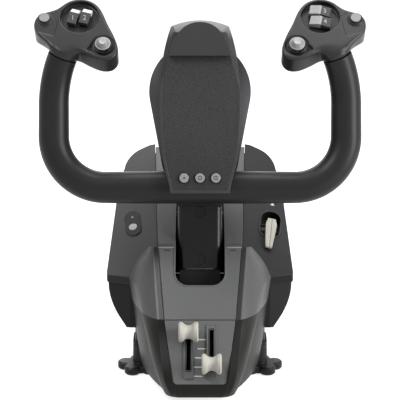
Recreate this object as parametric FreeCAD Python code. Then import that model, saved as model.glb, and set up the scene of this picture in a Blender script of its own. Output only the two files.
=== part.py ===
import FreeCAD, Part
import math
import os
from FreeCAD import Placement, Rotation, Vector

# A desk-edge control wheel for flying by hand: a two-horned wheel on a pendulum column,
# a housing that stands on the desk and a nose that hangs in front of its edge.
# Millimetres. +X is the pilot's right, +Y points away from the pilot, +Z is up.
# The origin is the centre of the rubber pad's underside, on the desk top.

os.makedirs("parts", exist_ok=True)

# ---------------------------------------------------------------- driving dimensions
LEAN = 15.0              # backward lean of the column and of the wheel's plane at rest
PIVOT_Y = -120.0         # pitch axis
PIVOT_Z = -10.0
COLUMN_REACH = 266.0     # pitch axis up to the roll axis, measured along the column
STANDOFF = 80.0          # wheel's plane in front of the column's centre line
WALL = 3.0               # moulded walls
SHUT = 0.5               # shut line between neighbouring covers
RUN = 0.05               # radial clearance of a turning or sliding fit
SLIP = 0.3               # clearance between pieces that move past each other

WHEEL_HALF_WIDTH = 154.0   # middle of the wheel's upright tubes
BAR_DROP = 92.0            # middle of the wheel's bar, below the roll axis
BAR_RADIUS = 17.4
GRIP_RADIUS = 15.6
BAR_CORNER = 54.0          # bend between the bar and an upright

FACE_TILT = 30.0           # horn faces lean back from the wheel's plane
HEAD_THICK = 26.0
WELL_RADIUS = 20.5
WELL_DEPTH = 6.0

BODY_HALF_WIDTH = 104.0
BODY_FRONT = -96.0
BODY_REAR = 66.0
ROOF_FRONT_Z = 62.0        # roof height at the body's front, 78 mm from the centre
ROOF_RISE = 0.67           # climb of the roof towards the back
ROOF_FALL = 0.194          # fall of the roof towards the sides
LIP = 9.0                  # depth of the side covers' edge
SPINE_RISE = math.tan(math.radians(20.0))
CREST_Y = -120.6
CREST_Z = 103.8
SLOT_HALF = 26.6           # slot that the column swings in
COLUMN_HALF = 24.4
SLOT_FRONT = -150.0        # front end of the slot, on the faceplate
SLOT_BACK = 44.0
SEAM_Z = 39.5
CHIN_Y = -211.7
CHIN_Z = -20.1
SEAM_Y = -176.1
FLOOR_Z = -36.0            # underside of the nose
NOSE_BACK = -92.0

PAD_THICK = 2.0
PLATE_THICK = 3.0

CLAMP_X = 68.0
CLAMP_Y = -78.0
SCREW_RADIUS = 5.0
CLAMP_BOSS = 7.6
JAW_TOP = -18.0            # smallest desk thickness
JAW_THICK = 4.0
KNOB_RADIUS = 25.5
KNOB_THICK = 9.0

SLIDER_X = 12.2
SLIDER_TRAVEL = 34.0
THROTTLE_KNOB_LENGTH = 21.0
KNOB_WAIST = 7.2

HAT_RADIUS = 8.0
KEY_TRAVEL = 1.5
KEY_STEM = 2.4
KEYS_ABREAST = ((-6.2, 0.0), (6.2, 0.0))     # left horn, side by side
KEYS_STACKED = ((0.0, 6.8), (0.0, -6.8))     # right horn, one over the other

RIG_X = 100.0              # threaded holes for a cockpit frame
RIG_Y = 80.0
RIG_RADIUS = 2.5
ROLL_SHAFT = 8.0
PLUG_RADIUS = 6.0
HEAD_RADIUS = 54.4         # round head of the column's casing
HEAD_CENTRE_V = 10.6
HEAD_CHEEK = 10.7          # degrees that the head's sides lean in
REST_HIGH = -15.5          # left throttle rests near the top of its slot
REST_LOW = -49.5           # right throttle rests near the bottom
KNOB_LIFT = 13.0           # knob's axis above the panel

# ---------------------------------------------------------------- frames
X_AXIS = Vector(1, 0, 0)
UP_COLUMN = Vector(0, math.sin(math.radians(LEAN)), math.cos(math.radians(LEAN)))
TO_PILOT = Vector(0, -math.cos(math.radians(LEAN)), math.sin(math.radians(LEAN)))
PIVOT = Vector(0, PIVOT_Y, PIVOT_Z)
ROLL_CENTRE = PIVOT + UP_COLUMN * COLUMN_REACH + TO_PILOT * STANDOFF

# wheel frame: X to the right, Y up the wheel's plane, Z towards the pilot
WHEEL = Placement(ROLL_CENTRE, Rotation(X_AXIS, 90.0 - LEAN))
# left horn's face: X to the right, Y up the face, Z out of it
FACE_CENTRE = Vector(-126.5, 87.5, 3.9)
FACE = WHEEL.multiply(Placement(FACE_CENTRE, Rotation(X_AXIS, -FACE_TILT)))
# views for drawing profiles in the world's planes
FRONT = Rotation(Vector(1, 0, 0), Vector(0, 0, 1), Vector(0, -1, 0), "XYZ")
SIDE = Rotation(Vector(0, 1, 0), Vector(0, 0, 1), Vector(1, 0, 0), "XYZ")
PLAN = Rotation()
# throttle panel: X to the right, Y up the panel, Z out of it, origin at its upper edge
PANEL_SLOPE = math.degrees(math.atan2(SEAM_Z - CHIN_Z, SEAM_Y - CHIN_Y))
THROTTLE = Placement(Vector(0, SEAM_Y, SEAM_Z), Rotation(X_AXIS, PANEL_SLOPE))
PANEL_LENGTH = math.hypot(SEAM_Z - CHIN_Z, SEAM_Y - CHIN_Y)
# roof of the right side cover: X to the right, Y up the slope, Z out of it
ROOF_SLOPE = math.degrees(math.atan(ROOF_RISE))


def placed(shape, frame):
    """The shape, drawn in a frame's own axes, where that frame stands in the world."""
    moved = shape.copy()
    moved.Placement = frame.multiply(shape.Placement)
    return moved


def mirrored(shape):
    return shape.mirror(Vector(0, 0, 0), X_AXIS)


def outline(corners):
    """Closed wire in XY; a corner is (x, y) or (x, y, radius), rounded by a tangent arc."""
    points = [Vector(c[0], c[1], 0) for c in corners]
    radii = [c[2] if len(c) > 2 else 0.0 for c in corners]
    starts, middles, ends = [], [], []
    for i, here in enumerate(points):
        if radii[i] == 0.0:
            starts.append(here)
            middles.append(None)
            ends.append(here)
            continue
        back = (points[i - 1] - here).normalize()
        onward = (points[(i + 1) % len(points)] - here).normalize()
        half = back.getAngle(onward) / 2
        reach = radii[i] / math.tan(half)
        inward = (back + onward).normalize()
        starts.append(here + back * reach)
        middles.append(here + inward * (radii[i] / math.sin(half) - radii[i]))
        ends.append(here + onward * reach)
    edges = []
    for i in range(len(points)):
        if middles[i] is not None:
            edges.append(Part.Arc(starts[i], middles[i], ends[i]).toShape())
        following = starts[(i + 1) % len(points)]
        if (following - ends[i]).Length > 1e-6:
            edges.append(Part.LineSegment(ends[i], following).toShape())
    return Part.Wire(edges)


def slab(wire, low, high, view=PLAN):
    """Solid of a wire drawn in a view, from one level to another along the view's normal."""
    solid = Part.Face(wire).extrude(Vector(0, 0, high - low))
    solid.translate(Vector(0, 0, low))
    solid.Placement = Placement(Vector(0, 0, 0), view).multiply(solid.Placement)
    return solid


def block(low, high):
    return Part.makeBox(high[0] - low[0], high[1] - low[1], high[2] - low[2], Vector(*low))


def rod(start, end, radius):
    axis = end - start
    return Part.makeCylinder(radius, axis.Length, start, axis)


def tube(start, end, outer, inner):
    return rod(start, end, outer).cut(rod(start, end, inner))


def turned(profile, axis_point=Vector(0, 0, 0), axis=Vector(0, 0, 1)):
    """Solid of revolution of (radius, height) points about Z."""
    points = [Vector(r, 0, z) for r, z in profile]
    face = Part.Face(Part.makePolygon(points + [points[0]]))
    return face.revolve(Vector(0, 0, 0), Vector(0, 0, 1), 360)


def edges_where(shape, test):
    return [e for e in shape.Edges if test(e)]


def save(node, shape):
    solids = shape.Solids
    print(node, len(solids), shape.isValid(), round(shape.Volume, 1))
    if len(solids) == 1:
        solids[0].exportStep("parts/" + node + ".step")
    else:
        Part.makeCompound(solids).exportStep("parts/" + node + ".step")


# ---------------------------------------------------------------- body on the desk
def spine_z(y):
    return CREST_Z + (y - CREST_Y) * SPINE_RISE


def below_roof(depth, side):
    """Everything under the roof plane of one side, lowered by depth."""
    def height(x, y):
        return ROOF_FRONT_Z + (y - BODY_FRONT) * ROOF_RISE - (x - 78.0) * ROOF_FALL - depth
    near, far, inner, outer = -260.0, 120.0, 0.0, 160.0
    top = [Vector(inner, near, height(inner, near)), Vector(outer, near, height(outer, near)),
           Vector(outer, far, height(outer, far)), Vector(inner, far, height(inner, far))]
    face = Part.Face(Part.makePolygon(top + [top[0]]))
    solid = face.extrude(Vector(0, 0, -500))
    return solid if side > 0 else mirrored(solid)


def below_spine(depth):
    """Everything under the spine's top plane, lowered by depth."""
    near, far = -260.0, 120.0
    profile = [(near, -300), (far, -300), (far, spine_z(far) - depth), (near, spine_z(near) - depth)]
    return slab(outline(profile), -160, 160, SIDE)


def body_plan(inset, inner_x):
    """Right half of the body's plan outline."""
    front, rear = BODY_FRONT + inset, BODY_REAR - inset
    wide = BODY_HALF_WIDTH - inset
    return outline([(inner_x, front), (78.0, front), (wide, front + 8.0, 4.0), (wide - 8.5, 10.0, 160.0),
                    (wide - 19.0, rear - 8.0, 26.0), (60.0, rear, 12.0), (inner_x, rear)])


def spine_half(y):
    return 45.4 + (y - CREST_Y) * (52.5 - 45.4) / (BODY_REAR - CREST_Y)


def spine_plan(inset, front, rear):
    """Plan of the spine: a strip that widens towards the back."""
    a, b = spine_half(front) - inset, spine_half(rear) - inset
    return outline([(-a, front), (a, front), (b, rear), (-b, rear)])


def side_cover():
    """Right side cover: a roof with a turned-down edge, open below."""
    reach = spine_half(BODY_FRONT) - 1.0
    outer = slab(body_plan(0, reach), -50, 260).common(below_roof(0, 1))
    outer = outer.cut(below_roof(LIP, 1))
    inner = slab(body_plan(WALL, reach), -50, 260).common(below_roof(WALL, 1))
    shell = outer.cut(inner)
    return shell.cut(slab(spine_plan(-SHUT, BODY_FRONT - 5, BODY_REAR + 5), -50, 260))


def front_profile(inset):
    """Front view of the lower housing, with its sides drawn in towards the desk."""
    wide = BODY_HALF_WIDTH - 1.6 - inset
    base = PAD_THICK + inset
    side = Part.Arc(Vector(wide, 53, 0), Vector(wide - 3.4, 33, 0), Vector(wide - 14, 11.4, 0)).toShape()
    points = [Vector(wide - 14, 11.4, 0), Vector(82 - inset, base, 0), Vector(-82 + inset, base, 0),
              Vector(-wide + 14, 11.4, 0)]
    other = Part.Arc(Vector(-wide + 14, 11.4, 0), Vector(-wide + 3.4, 33, 0), Vector(-wide, 53, 0)).toShape()
    top = [Vector(-wide, 53, 0), Vector(-wide, 260, 0), Vector(wide, 260, 0), Vector(wide, 53, 0)]
    edges = [side]
    edges += [Part.LineSegment(a, b).toShape() for a, b in zip(points, points[1:])]
    edges.append(other)
    edges += [Part.LineSegment(a, b).toShape() for a, b in zip(top, top[1:])]
    return Part.Wire(edges)


def lower_housing():
    """Dark tub under the covers, open at the front towards the nose."""
    def solid(inset):
        shape = slab(front_profile(inset), -120, 120, FRONT)
        half = slab(body_plan(1.6 + inset, -0.5), -50, 260)
        return shape.common(half.fuse(mirrored(half)))
    shell = solid(0).cut(solid(WALL))
    trim = below_roof(LIP + SHUT, 1).fuse(below_roof(LIP + SHUT, -1))
    shell = shell.common(trim)
    window = block((-56, BODY_FRONT - 5, PAD_THICK + WALL), (56, BODY_FRONT + 12, 260))
    shell = shell.cut(window)
    for side in (-1, 1):
        centre = Vector(side * CLAMP_X, CLAMP_Y, -20)
        shell = shell.cut(rod(centre, centre + Vector(0, 0, 60), 12.0))
    return rig_holes(shell, RIG_RADIUS + 0.5).cut(rear_window(0.3))


def spine_cover():
    """Grey top strip with the column's slot and its side walls."""
    outer = slab(spine_plan(0, CREST_Y, BODY_REAR), -50, 260).common(below_spine(0))
    inner = slab(spine_plan(WALL, CREST_Y - 5, BODY_REAR - WALL), -50, 260).common(below_spine(WALL))
    shell = outer.cut(inner)
    shell = shell.cut(below_roof(LIP, 1).fuse(below_roof(LIP, -1)))
    shell = shell.cut(placed(slab(faceplate_outline(5), -WALL - SHUT, 30), FACEPLATE))
    slot = slab(outline([(-SLOT_HALF, CREST_Y - 40), (SLOT_HALF, CREST_Y - 40),
                         (SLOT_HALF, SLOT_BACK, 10), (-SLOT_HALF, SLOT_BACK, 10)]), -50, 260)
    return shell.cut(slot)


def slot_liner():
    """Black trough inside the slot."""
    outer = outline([(-SLOT_HALF - 2.0, CREST_Y + 4), (SLOT_HALF + 2.0, CREST_Y + 4),
                     (SLOT_HALF + 2.0, SLOT_BACK + 2.0, 12), (-SLOT_HALF - 2.0, SLOT_BACK + 2.0, 12)])
    inner = outline([(-SLOT_HALF, CREST_Y - 10), (SLOT_HALF, CREST_Y - 10),
                     (SLOT_HALF, SLOT_BACK, 10), (-SLOT_HALF, SLOT_BACK, 10)])
    ring = slab(outer, 0, 260).cut(slab(inner, 0, 260))
    return ring.common(below_spine(WALL)).cut(below_spine(40.0))


def rear_window(grow):
    back = BODY_REAR - 1.6
    return slab(outline([(-44 - grow, 16 - grow, 5), (44 + grow, 16 - grow, 5), (44 + grow, 92 + grow, 5),
                         (-44 - grow, 92 + grow, 5)]), -back - grow, -back + WALL + grow, FRONT)


def rear_panel():
    """Service panel in the housing's back, with an opening for the data socket."""
    return rear_window(-SHUT).cut(socket_body(0.05))


# ---------------------------------------------------------------- nose
class Station:
    """Level section of the nose: panel edge, crease, cheek edge and side wall."""

    def __init__(self, z, front, panel, crease, cheek, side):
        self.z = z
        self.front = front
        self.panel = panel
        self.crease = crease
        self.cheek = cheek
        self.side = side

    def wire(self, inset=0.0):
        z, front = self.z, self.front + inset * 1.35
        p1 = Vector(self.panel, front, z)
        p2 = Vector(self.crease - inset * 0.4, front + 2.0, z)
        p3 = Vector(self.cheek[0] - inset, self.cheek[1] + inset * 0.6, z)
        p4 = Vector(self.side - inset, NOSE_BACK - inset * 1.2, z)
        bonnet = (p2 + p3) * 0.5 + Vector(3.0, -2.0, 0)
        flank = (p3 + p4) * 0.5 + Vector(0.042, -0.01, 0) * (p4 - p3).Length
        flip = [Vector(-p.x, p.y, p.z) for p in (p1, p2, p3, p4, bonnet, flank)]
        edges = [Part.LineSegment(flip[0], p1), Part.LineSegment(p1, p2), Part.Arc(p2, bonnet, p3),
                 Part.Arc(p3, flank, p4), Part.LineSegment(p4, flip[3]), Part.Arc(flip[3], flip[5], flip[2]),
                 Part.Arc(flip[2], flip[4], flip[1]), Part.LineSegment(flip[1], flip[0])]
        return Part.Wire([e.toShape() for e in edges])


def on_faceplate(z):
    return CREST_Y + (CREST_Z - z) * (SEAM_Y - CREST_Y) / (CREST_Z - SEAM_Z)


def on_throttle_panel(z):
    return SEAM_Y + (SEAM_Z - z) * (CHIN_Y - SEAM_Y) / (SEAM_Z - CHIN_Z)


CREST = Station(CREST_Z, CREST_Y, 45.4, 49.6, (51.5, -102.0), 52.5)
TEMPLE = Station(94.0, on_faceplate(94.0), 44.5, 50.4, (58.5, -99.5), 59.2)
BROW = Station(84.0, on_faceplate(84.0), 43.6, 49.8, (66.8, -99.2), 67.4)
CHEEK = Station(73.0, on_faceplate(73.0), 42.5, 49.0, (73.4, -99.0), 73.9)
SHOULDER = Station(62.0, on_faceplate(62.0), 41.5, 48.0, (78.2, -99.0), 78.7)
SEAM = Station(SEAM_Z, SEAM_Y, 38.2, 45.5, (65.6, -140.0), 76.0)
MIDDLE = Station(10.0, on_throttle_panel(10.0), 33.4, 42.0, (56.5, -157.0), 72.6)
CHIN = Station(CHIN_Z, CHIN_Y, 28.5, 36.0, (46.0, -175.0), 69.0)
HEEL = Station(FLOOR_Z, CHIN_Y + 4.0, 23.0, 29.0, (37.0, -188.0), 66.5)


def nose_loft(stations, inset=0.0):
    return Part.makeLoft([s.wire(inset) for s in stations], True, False)


def level(station, z):
    """The same section moved along the nose's slope to another height."""
    shift = z - station.z
    return Station(z, station.front - shift * 0.6, station.panel, station.crease, station.cheek, station.side)


def nose_upper():
    hood = [CREST, TEMPLE, BROW, CHEEK, SHOULDER]
    outer = nose_loft(hood).fuse(nose_loft([SHOULDER, SEAM]))
    inner = nose_loft(hood, WALL).fuse(nose_loft([SHOULDER, SEAM], WALL))
    brow = outline([(-200, 140), (-200, CREST_Z), (CREST_Y, CREST_Z), (-90, 95.2), (-90, 140)])
    return outer.cut(inner).cut(slab(brow, -100, 100, SIDE))


def nose_lower():
    outer = nose_loft([SEAM, MIDDLE, CHIN, HEEL])
    inner = nose_loft([SEAM, MIDDLE, CHIN, level(HEEL, FLOOR_Z + WALL)], WALL)
    return outer.cut(inner)


def faceplate_frame():
    slope = math.degrees(math.atan2(CREST_Z - SEAM_Z, CREST_Y - SEAM_Y))
    return Placement(Vector(0, SEAM_Y, SEAM_Z), Rotation(X_AXIS, slope))


FACEPLATE = faceplate_frame()
FACEPLATE_LENGTH = math.hypot(CREST_Z - SEAM_Z, CREST_Y - SEAM_Y)


def faceplate_outline(grow):
    return outline([(-38.2 - grow, -grow), (38.2 + grow, -grow), (45.4 + grow, FACEPLATE_LENGTH + grow),
                    (-45.4 - grow, FACEPLATE_LENGTH + grow)])


def throttle_outline(grow):
    return outline([(-38.2 - grow, grow), (-28.5 - grow, -PANEL_LENGTH - grow, 5.0),
                    (28.5 + grow, -PANEL_LENGTH - grow, 5.0), (38.2 + grow, grow)])


def faceplate():
    """Light grey plate with the U end of the slot."""
    plate = slab(faceplate_outline(-SHUT), -WALL, 0)
    reach = (SEAM_Y - SLOT_FRONT) / (SEAM_Y - CREST_Y) * FACEPLATE_LENGTH
    slot = slab(outline([(-SLOT_HALF, reach, 14), (SLOT_HALF, reach, 14), (SLOT_HALF, 120), (-SLOT_HALF, 120)]),
                -20, 20)
    return placed(plate.cut(slot), FACEPLATE)


def throttle_panel():
    """Lower plate with two framed slots for the throttle levers."""
    plate = slab(throttle_outline(-SHUT), -WALL, 0)
    for x in (-SLIDER_X, SLIDER_X):
        frame = slab(outline([(x - 5.0, -5.5, 1.5), (x + 5.0, -5.5, 1.5), (x + 5.0, -62.5, 1.5),
                              (x - 5.0, -62.5, 1.5)]), -0.5, 1.2)
        plate = plate.fuse(frame)
    for x in (-SLIDER_X, SLIDER_X):
        plate = plate.cut(slab(outline([(x - 2.0, REST_HIGH + 4.7), (x + 2.0, REST_HIGH + 4.7),
                                        (x + 2.0, REST_LOW - 4.7), (x - 2.0, REST_LOW - 4.7)]), -20, 20))
    return placed(plate, THROTTLE)


def build_nose():
    upper = nose_upper()
    lower = nose_lower()
    plate_space = placed(slab(faceplate_outline(0), -WALL - 2, 30), FACEPLATE)
    throttle_space = placed(slab(throttle_outline(0), -WALL - 2, 30), THROTTLE)
    track_space = placed(block((-22, -61, -20), (22, -2, 0)), THROTTLE)
    upper = upper.cut(plate_space)
    lower = lower.cut(plate_space).cut(throttle_space).cut(track_space)
    behind = block((-150, BODY_FRONT - SLIP, -100), (150, 0, 260))
    upper = upper.cut(behind)
    rear_trim = block((-150, BODY_FRONT - SLIP, PAD_THICK - SLIP), (150, 0, 260))
    lower = lower.cut(rear_trim)
    spine_space = slab(spine_plan(-SHUT, CREST_Y - 1, BODY_REAR), 20, 260)
    upper = upper.cut(spine_space)
    right = upper.common(block((0, -300, -100), (200, 100, 300)))
    return mirrored(right), right, lower


# ---------------------------------------------------------------- inside the housing
def base_plate():
    """Steel plate on the housing's floor, with rig holes and threaded bushes for the clamp."""
    low = PAD_THICK + WALL
    plate = slab(outline([(-77, -90, 6), (77, -90, 6), (77, 10, 6), (64, 24, 6), (64, 52, 6), (-64, 52, 6),
                          (-64, 24, 6), (-77, 10, 6)]), low, low + PLATE_THICK)
    for side in (-1, 1):
        foot = Vector(side * CLAMP_X, CLAMP_Y, low)
        plate = plate.fuse(rod(foot, foot + Vector(0, 0, 14), 9.0))
        plate = plate.cut(rod(foot - Vector(0, 0, 1), foot + Vector(0, 0, 20), SCREW_RADIUS + RUN))
    for x in (-RIG_X / 2, RIG_X / 2):
        for y in (-RIG_Y / 2, RIG_Y / 2):
            plate = plate.cut(rod(Vector(x, y, 0), Vector(x, y, 20), RIG_RADIUS))
    return plate


def rig_holes(shape, radius):
    """The shape with clearance holes in line with the steel plate's threads."""
    for x in (-RIG_X / 2, RIG_X / 2):
        for y in (-RIG_Y / 2, RIG_Y / 2):
            shape = shape.cut(rod(Vector(x, y, -5), Vector(x, y, 12), radius))
    return shape


def desk_pad():
    pad = slab(outline([(-66, -58, 8), (66, -58, 8), (66, 54, 8), (-66, 54, 8)]), 0, PAD_THICK)
    return rig_holes(pad, RIG_RADIUS + 2.0)


FRAME_X = 31.0            # inner faces of the steel frame's cheeks
FRAME_THICK = 3.0
AXLE_RADIUS = 6.0


def steel_frame():
    """Two steel cheeks that carry the pitch axle, joined by a cross bar."""
    floor = PAD_THICK + WALL + PLATE_THICK
    cheeks = None
    for side in (-1, 1):
        profile = outline([(PIVOT_Y - 16, PIVOT_Z - 15, 12), (PIVOT_Y + 16, PIVOT_Z - 15, 6),
                           (NOSE_BACK - WALL - 1, PIVOT_Z), (NOSE_BACK - WALL - 1, floor), (20, floor),
                           (20, floor + 10, 5), (-60, floor + 45, 20), (PIVOT_Y - 16, floor + 20, 12)])
        low = FRAME_X if side > 0 else -FRAME_X - FRAME_THICK
        cheek = slab(profile, low, low + FRAME_THICK, SIDE)
        cheeks = cheek if cheeks is None else cheeks.fuse(cheek)
    bar = rod(Vector(-FRAME_X - 1, -48, floor + 29), Vector(FRAME_X + 1, -48, floor + 29), 5.0)
    feet = block((-FRAME_X - 14, -40, floor), (FRAME_X + 14, 18, floor + 2.5))
    whole = cheeks.fuse(bar).fuse(feet)
    return whole.cut(rod(Vector(-60, PIVOT_Y, PIVOT_Z), Vector(60, PIVOT_Y, PIVOT_Z), AXLE_RADIUS))


def pitch_axle():
    end = FRAME_X + FRAME_THICK + 3.0
    shaft = rod(Vector(-end, PIVOT_Y, PIVOT_Z), Vector(end, PIVOT_Y, PIVOT_Z), AXLE_RADIUS)
    for side in (-1, 1):
        groove = tube(Vector(side * (end - 1.6), PIVOT_Y, PIVOT_Z), Vector(side * (end - 0.8), PIVOT_Y, PIVOT_Z),
                      AXLE_RADIUS + 2, AXLE_RADIUS - 0.8)
        shaft = shaft.cut(groove)
    return shaft


def socket_body(grow):
    back = BODY_REAR - 2.2
    return slab(outline([(-8 - grow, 24 - grow, 2), (8 + grow, 24 - grow, 2), (8 + grow, 36 + grow, 2),
                         (-8 - grow, 36 + grow, 2)]), -back, -back + 8, FRONT)


def usb_socket():
    """Data socket: a bare oval mouth in a square shell."""
    back = BODY_REAR - 2.2
    shell = socket_body(0)
    mouth = slab(outline([(-4.5, 28.4, 1.6), (4.5, 28.4, 1.6), (4.5, 31.6, 1.6), (-4.5, 31.6, 1.6)]),
                 -back - 1, -back + 6, FRONT)
    return shell.cut(mouth)


def control_board():
    floor = PAD_THICK + WALL + PLATE_THICK
    board = block((-46, 26, floor + 8), (46, 52, floor + 9.6))
    posts = [rod(Vector(x, y, floor), Vector(x, y, floor + 8), 2.5) for x in (-40, 40) for y in (30, 48)]
    return board.multiFuse(posts)


def housing_screws():
    """Screws from below that hold the steel plate to the housing."""
    screws = []
    for x in (-58, 58):
        for y in (-50, 30):
            top = Vector(x, y, PAD_THICK + WALL + PLATE_THICK)
            head = rod(top, top + Vector(0, 0, 2.2), 3.6)
            socket = rod(top + Vector(0, 0, 1.0), top + Vector(0, 0, 3), 1.6)
            screws.append(head.cut(socket))
    return Part.makeCompound(screws)


# ---------------------------------------------------------------- desk clamp
def clamp_jaw():
    low = JAW_TOP - 1.0 - JAW_THICK
    reach = CLAMP_X + CLAMP_BOSS
    jaw = slab(outline([(-reach, CLAMP_Y - CLAMP_BOSS, 7.4), (reach, CLAMP_Y - CLAMP_BOSS, 7.4), (reach, -52, 12),
                        (50, 10, 16), (-50, 10, 16), (-reach, -52, 12)]), low, low + JAW_THICK)
    rib = slab(outline([(-60, -64), (60, -64), (60, -60), (-60, -60)]), low - 5, low)
    jaw = jaw.fuse(rib)
    for side in (-1, 1):
        foot = Vector(side * CLAMP_X, CLAMP_Y, low - 20)
        jaw = jaw.cut(rod(foot, foot + Vector(0, 0, 60), SCREW_RADIUS + RUN))
    return jaw


def jaw_pad():
    return slab(outline([(-54, -50, 8), (54, -50, 8), (40, 4, 8), (-40, 4, 8)]), JAW_TOP - 1.0, JAW_TOP)


def clamp_screw(side):
    """Hand screw: a steel spindle with a five-lobed knob and its boss moulded on the foot."""
    low = JAW_TOP - 1.0 - JAW_THICK
    grip = low - 21.0
    axis = Vector(side * CLAMP_X, CLAMP_Y, 0)
    spindle = rod(axis + Vector(0, 0, grip), axis + Vector(0, 0, 66), SCREW_RADIUS)
    boss = Part.makeCone(CLAMP_BOSS + 0.6, CLAMP_BOSS, 21.0 - SLIP, axis + Vector(0, 0, grip))
    lobe = 9.2
    hand = rod(axis + Vector(0, 0, grip - KNOB_THICK), axis + Vector(0, 0, grip), KNOB_RADIUS - 8.0)
    lobes = []
    for i in range(5):
        angle = math.radians(90 - side * (151.3 - 72 * i))
        centre = axis + Vector(math.cos(angle), math.sin(angle), 0) * (KNOB_RADIUS - lobe)
        lobes.append(rod(centre + Vector(0, 0, grip - KNOB_THICK), centre + Vector(0, 0, grip), lobe))
    knob = hand.multiFuse(lobes).removeSplitter()
    knob = knob.makeChamfer(1.6, [e for e in knob.Edges if abs(e.Vertexes[0].Z - e.Vertexes[-1].Z) < 0.01])
    return knob.fuse(boss).fuse(spindle)


# ---------------------------------------------------------------- throttle levers and side controls
def throttle_knob(side):
    """Spool-shaped knob on its blade, at the height where it rests in the panel."""
    rest = REST_HIGH if side < 0 else REST_LOW
    half = THROTTLE_KNOB_LENGTH / 2
    section = [Vector(-half, 0, 0), Vector(-half, 0, 9.5), Vector(-half + 1.5, 0, 11), Vector(-half + 4.5, 0, 10.4)]
    waist = Part.Arc(Vector(-half + 4.5, 0, 10.4), Vector(0, 0, KNOB_WAIST), Vector(half - 4.5, 0, 10.4)).toShape()
    edges = [Part.LineSegment(a, b).toShape() for a, b in zip(section, section[1:])]
    right = [Vector(half - 4.5, 0, 10.4), Vector(half - 1.5, 0, 11), Vector(half, 0, 9.5), Vector(half, 0, 0)]
    other = [Part.LineSegment(a, b).toShape() for a, b in zip(right, right[1:])]
    closing = Part.LineSegment(right[-1], section[0]).toShape()
    face = Part.Face(Part.Wire(edges + [waist] + other + [closing]))
    spool = face.revolve(Vector(0, 0, 0), X_AXIS, 360)
    spool.translate(Vector(side * SLIDER_X, rest, KNOB_LIFT))
    return placed(spool, THROTTLE)


def throttle_slider(side):
    rest = REST_HIGH if side < 0 else REST_LOW
    x = side * SLIDER_X
    blade = block((x - 1.5, rest - 4, -9), (x + 1.5, rest + 4, KNOB_LIFT - 4.0))
    carriage = block((x - 4.5, rest - 7, -13), (x + 4.5, rest + 7, -9))
    knob = rod(Vector(x - 30, rest, KNOB_LIFT), Vector(x + 30, rest, KNOB_LIFT), KNOB_WAIST + 0.1)
    return placed(blade.fuse(carriage).cut(knob), THROTTLE)


def throttle_tracks():
    """Two slide sensors behind the panel, on one bracket."""
    tray = block((-20, -60, -16.5), (20, -5, -14))
    for x in (-SLIDER_X, SLIDER_X):
        for edge in (-1, 1):
            wall = block((x + edge * 5.8 - 0.8, -60, -14), (x + edge * 5.8 + 0.8, -5, -WALL))
            tray = tray.fuse(wall)
    return placed(tray, THROTTLE)


def roof_frame(side, x, y):
    """Frame on the roof: Z out of it, Y up its slope."""
    z = ROOF_FRONT_Z + (y - BODY_FRONT) * ROOF_RISE - (x - 78.0) * ROOF_FALL
    right = Vector(1, 0, -ROOF_FALL).normalize()
    up = Vector(0, 1, ROOF_RISE)
    normal = right.cross(up).normalize()
    up = normal.cross(right).normalize()
    if side < 0:
        right = Vector(right.x, right.y, -right.z)
        normal = Vector(-normal.x, normal.y, normal.z)
        up = normal.cross(right).normalize()
    return Placement(Vector(side * x, y, z), Rotation(right, up, normal, "ZXY"))


POWER = roof_frame(-1, 76.0, -32.5)
GEAR = roof_frame(1, 80.0, -33.0)


def stadium(width, length):
    radius = width / 2 - 0.01
    half, end = width / 2, length / 2
    return outline([(-half, -end, radius), (half, -end, radius), (half, end, radius), (-half, end, radius)])


def power_button():
    cap = slab(stadium(16.0, 36.0), -6, 1.0)
    flange = slab(stadium(19.0, 39.0), -6, -WALL - 1.4)
    return placed(cap.fuse(flange), POWER)


def gear_well():
    """Oval cup let into the right cover, with the lever's slot and pin bosses."""
    rim = slab(stadium(25.6, 42.0), -16, 0.8)
    hollow = slab(stadium(22.4, 38.8), -14, 5)
    cup = rim.cut(hollow)
    pin = rod(Vector(-11.8, 4, -8), Vector(11.8, 4, -8), 1.6)
    return placed(cup.fuse(pin), GEAR)


def gear_lever():
    """Lever that hangs down the slope out of its well: broad at the heel, slim at the tip."""
    side = outline([(8, -8, 4), (6.5, 4, 3), (1, 9.4, 4), (-14, 9.0, 8), (-37, 5.6, 1.5), (-37.5, 2.0, 1),
                    (-12, 2.0, 6), (-2, -4, 4), (0.5, -11, 3), (7, -12, 3)])
    plan = outline([(-3.6, 10, 2), (-3.6, 4, 6), (-6.2, -6, 8), (-5.8, -16, 10), (-3.7, -38, 2.5), (3.7, -38, 2.5),
                    (5.8, -16, 10), (6.2, -6, 8), (3.6, 4, 6), (3.6, 10, 2)])
    lever = slab(side, -8, 8, SIDE).common(slab(plan, -20, 20))
    groove = slab(outline([(-0.8, 2), (0.8, 2), (0.8, -40), (-0.8, -40)]), 4.6, 20)
    groove = groove.cut(slab(outline([(12, -8), (12, 20), (-60, 20), (-60, -8)]), -9, 9, SIDE).common(
        slab(outline([(1, 8.7), (-14, 8.3), (-40, 4.7), (-40, -8), (12, -8), (12, 8.7)]), -9, 9, SIDE)))
    pin = rod(Vector(-20, 4, -8), Vector(20, 4, -8), 1.6 + RUN)
    return placed(lever.cut(groove).cut(pin), GEAR)


# ---------------------------------------------------------------- pendulum column
def teardrop(inset):
    """Front view of the casing: a round head whose tangents close in to the column."""
    radius = HEAD_RADIUS - inset
    lean = math.radians(HEAD_CHEEK)

    def cheek(v):
        """Half-width of the straight cheek at a height, tangent to the round head."""
        touch_v = HEAD_CENTRE_V - radius * math.sin(lean)
        return radius * math.cos(lean) - (touch_v - v) * math.tan(lean)
    top = HEAD_CENTRE_V + radius
    stem = COLUMN_HALF - inset
    return outline([(-cheek(top), top, radius), (-cheek(-71.8), -71.8, 30), (-stem, -114, 10), (stem, -114, 10),
                    (cheek(-71.8), -71.8, 30), (cheek(top), top, radius)])


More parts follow.
